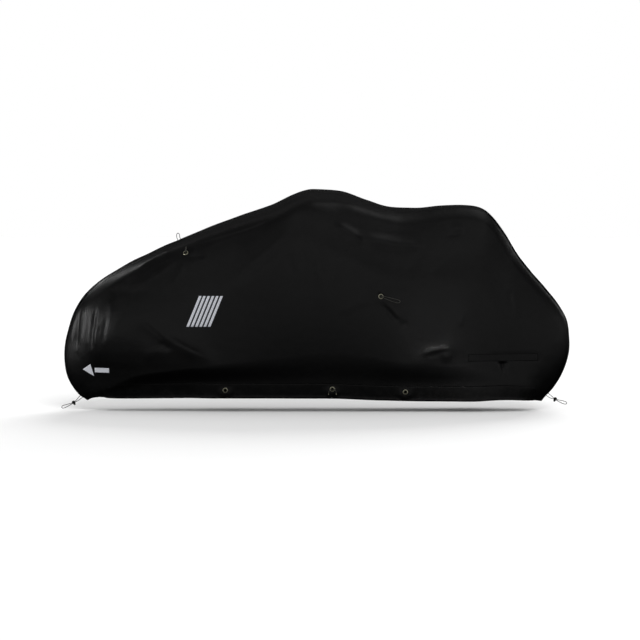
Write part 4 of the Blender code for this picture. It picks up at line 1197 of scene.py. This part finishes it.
def makeSpine(material):
    columns, rows = spineGrid
    shares = np.linspace(1, 0, rows // 2 + 1)
    points = np.zeros((columns, 2 * len(shares) - 1, 3))
    normals = np.zeros_like(points)
    seams = np.zeros(points.shape[:2])
    for i, at in enumerate(np.linspace(0, 1, columns)):
        reach = shapes[leftSide].seamLength(at) - clothSizes["seamGap"]
        onLeft, leftNormals = shapes[leftSide].places(at, reach * shares)
        onRight, rightNormals = shapes[rightSide].places(at, reach * shares[-2::-1])
        points[i] = np.vstack([onLeft, onRight])
        normals[i] = np.vstack([leftNormals, rightNormals])
        seams[i] = reach * (1 - np.concatenate([shares, shares[-2::-1]]))
    along, across = spineSlack["perMetre"]
    spots = [Vector((x * along, height * along, y * across)) for x, y, height in points.reshape(-1, 3)]
    wrinkle = np.array([noise.noise(spot) for spot in spots]).reshape(seams.shape)
    lift = wrinkle * spineSlack["rise"] * smoothStep(seams / spineSlack["fade"])
    points = points + normals * lift[..., None]
    made = sheetPiece("spine", points, normals, seams, material, ["spine_panel"])


def leftFace(knotsX, knotsHeight, wantedX, wantedHeight):
    # y of the smooth left side over a block of places, from a few of them
    knots = [[shapes[leftSide].placeAt(x, height)[0][1] for height in knotsHeight] for x in knotsX]
    rows = np.array([smoothValues(knotsHeight, row, wantedHeight) for row in knots])
    return np.array([smoothValues(knotsX, column, wantedX) for column in rows.T]).T


def makeFlap(material):
    columns, rows = flap["grid"]
    low, high = flap["height"]
    xs, heights = np.linspace(*flap["x"], columns), np.linspace(low, high, rows)
    knots = [np.linspace(*flap[way], count) for way, count in zip(("x", "height"), flap["knots"])]
    y = leftFace(*knots, xs, heights)
    slopeX, slopeHeight = np.gradient(y, xs, heights)
    normals = np.stack([slopeX, -np.ones_like(y), slopeHeight], axis=2)
    normals /= np.linalg.norm(normals, axis=2)[..., None]
    x, height = np.meshgrid(xs, heights, indexing="ij")
    points = np.stack([x, y, height], axis=2)
    edge = np.minimum.reduce([x - xs[0], xs[-1] - x, height - low, high - height])
    points += normals * (flap["outer"] - flap["drop"] * (1 - smoothStep(edge / flap["rim"])))[..., None]
    downwards = [values[:, ::-1] for values in (points, normals, edge)]
    made = sheetPiece("rearFlap", *downwards, material, ["rear_flap"])
    return made


print("cloth")
panelMat = clothMaterial("coatedCloth", clothLook["roughness"])
spineMat = clothMaterial("spineCloth", clothLook["spineRoughness"])
flapMat = clothMaterial("flapCloth", clothLook["roughness"], seams=False, gapShadeWidth=flap["edge"])
makeSpine(spineMat)
panelLeft = makePanel(leftSide, panelMat)
panelRight = makePanel(rightSide, panelMat)
hemLeft = makeHem(leftSide, panelMat)
hemRight = makeHem(rightSide, panelMat)
rearFlap = makeFlap(flapMat)

# Fittings

eyeletLook = {  # the metal's outline, as distance from the bore's middle and height over the cloth
    "outline": [
        (0.0057, 0.0001), (0.0120, 0.0001), (0.0125, 0.0005), (0.0125, 0.0010), (0.0118, 0.0017), (0.0101, 0.0022),
        (0.0083, 0.0022), (0.0067, 0.0018), (0.0055, 0.0010), (0.0050, 0.0), (0.0050, -0.0012), (0.0056, -0.0019),
        (0.0075, -0.0021), (0.0098, -0.0019), (0.0108, -0.0014), (0.0105, -0.0010), (0.0057, -0.0010),
    ],
    "steps": 48,
}
lockLook = {
    # x, y and height, slope of its cords in degrees, and whether they end to the front or the rear
    "places": {"front": (-1.1710, -0.008, 0.0364, 30.7, -1), "rear": (1.1655, -0.008, 0.0530, 28.1, 1)},
    "rings": [  # away from the axis and height along it
        (0.0070, -0.0056), (0.0070, -0.0043), (0.0070, 0.0043), (0.0070, 0.0056), (0.0046, -0.0105),
        (0.0046, -0.0092),
    ],
    "ring": 0.00035,
    "cap": [(0.0, -0.0136), (0.0016, -0.0135), (0.0029, -0.0132), (0.0036, -0.0127)],
    "steps": 40,
}


def spun(outline, place, steps, closed):
    # a turned shape from its outline, as distance from the axis and height along it
    bm = bmesh.new()
    verts = [bm.verts.new((away, 0.0, height)) for away, height in outline]
    ahead = verts[1:] + verts[:1] if closed else verts[1:]
    edges = [bm.edges.new(pair) for pair in zip(verts, ahead)]
    turn = {"cent": (0, 0, 0), "axis": (0, 0, 1), "angle": 2 * math.pi, "steps": steps}
    bmesh.ops.spin(bm, geom=verts + edges, use_merge=True, **turn)
    bmesh.ops.remove_doubles(bm, verts=bm.verts, dist=1e-7)
    bmesh.ops.recalc_face_normals(bm, faces=bm.faces)
    reach = bm.verts.layers.float.new("away")
    for vert in bm.verts:
        vert[reach] = vert.co.xy.length
    bm.transform(place)
    return bm


def ringOutline(away, height, radius, count=8):
    turns = [2 * math.pi * k / count for k in range(count)]
    return [(away + radius * math.cos(turn), height + radius * math.sin(turn)) for turn in turns]


def lockFrame(x, y, height, slope, towards):
    # the cords run along X
    lean = math.radians(slope)
    along = Vector((towards * math.cos(lean), 0, -math.sin(lean)))
    up = Vector((towards * math.sin(lean), 0, math.cos(lean)))
    return frameOf(along, up.cross(along), up, toFrame((x, y, height)))


print("fittings")
eyeletMat = brassMaterial("turnedBrass", turned=True)
tipMat = brassMaterial("agedBrass", turned=False)
plasticMat = plasticMaterial()
for eyelet in eyelets:
    place = lowered @ eyeletFrames[eyelet.name]
    bm = spun(eyeletLook["outline"], place, eyeletLook["steps"], closed=True)
    finishPiece("turned_" + eyelet.name, bm, eyeletMat, [eyelet.name], creaseAngle=50)
for end, placing in lockLook["places"].items():
    place = lockFrame(*placing)
    for k, (away, height) in enumerate(lockLook["rings"]):
        bm = spun(ringOutline(away, height, lockLook["ring"]), place, lockLook["steps"], closed=True)
        finishPiece(f"{end}LockRing{k + 1}", bm, plasticMat)
    bm = spun(lockLook["cap"], place, lockLook["steps"], closed=False)
    finishPiece(f"{end}LockCap", bm, plasticMat)
for nodeName, node in frame["nodes"].items():
    if nodeName.startswith("hem_tie_tip"):
        node.data.materials[0] = tipMat
    if nodeName.endswith("cord_lock"):
        node.data.materials[0] = plasticMat

# Stitches

stitchLook = {
    "length": 0.0034,
    "width": 0.0009,
    "height": 0.0007,
    "pitch": 0.0050,
    "flapInset": 0.0045,
    "flapSteps": 20,  # along each of the flap's edges
    "rowEnds": 0.004,  # share of the outline that a row leaves free at each end
    "rowSteps": 400,
    "reach": 0.02,  # from which the nearest cloth is sought
    "lifted": 0.15,  # share of its height that its middle stands over the cloth
}
stitchRows = [  # on each side: on which cloth, along which of its lines and how far below that
    ("seamStitches{}1", "panel", "seam", 0.0008),
    ("seamStitches{}2", "panel", "seam", 0.0048),
    ("hemStitches{}", "panel", "channel", 0.0005),
    ("edgeStitches{}", "hem", "edge", -0.0125),
]


def stitchBase():
    bm = bmesh.new()
    bmesh.ops.create_icosphere(bm, subdivisions=1, radius=0.5)
    bmesh.ops.scale(bm, vec=(stitchLook["length"], stitchLook["width"], stitchLook["height"]), verts=bm.verts)
    mesh = bpy.data.meshes.new("stitch")
    bm.to_mesh(mesh)
    bm.free()
    return mesh


def makeStitches(name, points, normals, tree):
    # even stitches along a line beside the cloth, each laid on it
    along = chords(points)
    wanted = np.arange(0.5, along[-1] / stitchLook["pitch"] - 0.5) * stitchLook["pitch"]
    centres, ahead, outwards = [
        np.column_stack([np.interp(at, along, column) for column in values.T])
        for at, values in ((wanted, points), (wanted + 0.001, points), (wanted, normals))
    ]
    bm = bmesh.new()
    for centre, after, outward in zip(centres, ahead, outwards):
        hit, normal, _, _ = tree.find_nearest(toFrame(centre) + Vector(outward) * stitchLook["reach"])
        onward = Vector(after - centre)
        onward = (onward - normal * onward.dot(normal)).normalized()
        middle = hit + normal * stitchLook["height"] * stitchLook["lifted"]
        piece = stitchMesh.copy()
        piece.transform(frameOf(onward, normal.cross(onward), normal, middle))
        bm.from_mesh(piece)
        bpy.data.meshes.remove(piece)
    finishPiece(name, bm, threadMat)


def sideRow(name, side, tree, line, below):
    shares = np.linspace(stitchLook["rowEnds"], 1 - stitchLook["rowEnds"], stitchLook["rowSteps"])
    shape = shapes[side]
    pairs = [shape.places(at, np.array([getattr(shape.marks(at), line) + below])) for at in shares]
    points, normals = (np.array([pair[k][0] for pair in pairs]) for k in (0, 1))
    makeStitches(name, points, normals, tree)


def leftCloth(tree, x, height):
    # place and outward normal of the made cloth of the left side at a point in side view
    hit, normal, _, _ = tree.ray_cast(toFrame((x, -2.0, height)), Vector((0, 1, 0)))
    return hit, -normal if normal.y > 0 else normal


def flapRow(tree):
    # round the flap, a little inside its edge
    inset, steps = stitchLook["flapInset"], stitchLook["flapSteps"]
    (left, right), (low, high) = [(first + inset, last - inset) for first, last in (flap["x"], flap["height"])]
    corners = [(left, low), (right, low), (right, high), (left, high)]
    border = []
    for (x, height), (nextX, nextHeight) in zip(corners, corners[1:] + corners[:1]):
        for t in np.linspace(0, 1, steps, endpoint=False):
            hit, _ = leftCloth(tree, x + t * (nextX - x), height + t * (nextHeight - height))
            border.append((hit.x, hit.y, hit.z + holdHeight))
    border = np.array(border + border[:1])
    makeStitches("flapStitches", border, np.tile([0.0, -1.0, 0.0], (len(border), 1)), tree)


print("stitches")
threadMat = threadMaterial()
stitchMesh = stitchBase()
clothNow = bpy.context.evaluated_depsgraph_get()
cloths = (panelLeft, panelRight, hemLeft, hemRight, rearFlap)
trees = {made.name: BVHTree.FromObject(made, clothNow) for made in cloths}
for side, word in sideWords.items():
    for name, cloth, line, below in stitchRows:
        sideRow(name.format(word), side, trees[cloth + word], line, below)
flapRow(trees["rearFlap"])
bpy.data.meshes.remove(stitchMesh)

# Pale print: a plain arrow at the front and a plain block of slanted bars

printLook = {
    "rise": 0.0007,
    "thickness": 0.0003,
    "arrow": [(-1.1155, 0.2037), (-1.0767, 0.2304), (-1.0597, 0.1722)],
    "tail": [(-1.0560, 0.2130), (-0.9850, 0.2120), (-0.9850, 0.1900), (-1.0560, 0.1910)],
    "cuts": 14,  # across a shape with four corners
    "rounds": 4,  # of cutting up a shape with three
}
bars = {
    "count": 6,
    "x": (-0.6100, -0.4360),
    "height": (0.414, 0.560),
    "lean": 0.060,
    "fill": 0.62,  # share of the pitch that a bar takes
}


def printShape(name, corners, tree, material):
    # a flat outline laid on the cloth
    bm = bmesh.new()
    verts = [bm.verts.new((x, 0.0, height)) for x, height in corners]
    bm.faces.new(verts)
    if len(verts) == 4:
        bmesh.ops.subdivide_edges(bm, edges=bm.edges[:], cuts=printLook["cuts"], use_grid_fill=True)
    else:
        for _ in range(printLook["rounds"]):
            bmesh.ops.triangulate(bm, faces=bm.faces[:])
            bmesh.ops.subdivide_edges(bm, edges=bm.edges[:], cuts=1, use_grid_fill=True)
    for vertex in bm.verts:
        hit, normal = leftCloth(tree, vertex.co.x, vertex.co.z)
        vertex.co = hit + normal * printLook["rise"]
    bmesh.ops.recalc_face_normals(bm, faces=bm.faces)
    bm.normal_update()
    if next(iter(bm.faces)).normal.y > 0:
        bmesh.ops.reverse_faces(bm, faces=bm.faces)
    thicken(finishPiece(name, bm, material), printLook["thickness"])


print("prints")
printMat = printMaterial()
clothTree = trees["panelLeft"]
printShape("frontArrow", printLook["arrow"], clothTree, printMat)
printShape("frontArrowTail", printLook["tail"], clothTree, printMat)
start, end = bars["x"]
low, high = bars["height"]
pitch = (end - start - bars["lean"]) / (bars["count"] - 1 + bars["fill"])
for k in range(bars["count"]):
    left = start + k * pitch
    right = left + pitch * bars["fill"]
    corners = [(left, low), (left + bars["lean"], high), (right + bars["lean"], high), (right, low)]
    printShape(f"printBar{k + 1}", corners, clothTree, printMat)

# Floor, world and lights


def makeFloor():
    look = Look("floor", floorLook["colour"], 0.9)
    look.feed("Emission Color", (1.0, 1.0, 1.0, 1.0))
    look.shader.inputs["Emission Strength"].default_value = floorLook["glow"]
    bm = bmesh.new()
    bmesh.ops.create_grid(bm, x_segments=1, y_segments=1, size=floorLook["size"] / 2)
    bmesh.ops.translate(bm, vec=(0, 0, -holdHeight), verts=bm.verts)
    mesh = bpy.data.meshes.new("floor")
    bm.to_mesh(mesh)
    bm.free()
    mesh.materials.append(look.material)
    made = addObject("floor", mesh)
    made.visible_glossy = False
    made.visible_diffuse = False
    return made


def makeWorld():
    world = bpy.data.worlds.new("studio")
    world.use_nodes = True
    background = world.node_tree.nodes["Background"].inputs
    background["Color"].default_value = (1, 1, 1, 1)
    background["Strength"].default_value = 1.0
    world.cycles_visibility.diffuse = False
    world.cycles_visibility.glossy = False
    bpy.context.scene.world = world
    bpy.context.scene.view_settings.view_transform = "Standard"


print("floor and lights")
floor = makeFloor()
litFloor, litCover, litRight = [bpy.data.collections.new(name) for name in ("litFloor", "litCover", "litRight")]
litFloor.objects.link(floor)
litCover.objects.link(floor)
litCover.collection_objects[0].light_linking.link_state = "EXCLUDE"
for made in list(bpy.context.scene.collection.objects):
    if "right" in made.name.lower() and made.type == "MESH":
        litRight.objects.link(made)
for light in floorLights:
    makeFloorLight(light, litFloor)
makeWorld()
for light in lights:
    makeLight(light, litCover)
for light in backLights:
    makeLight(light, litRight)

print("done")
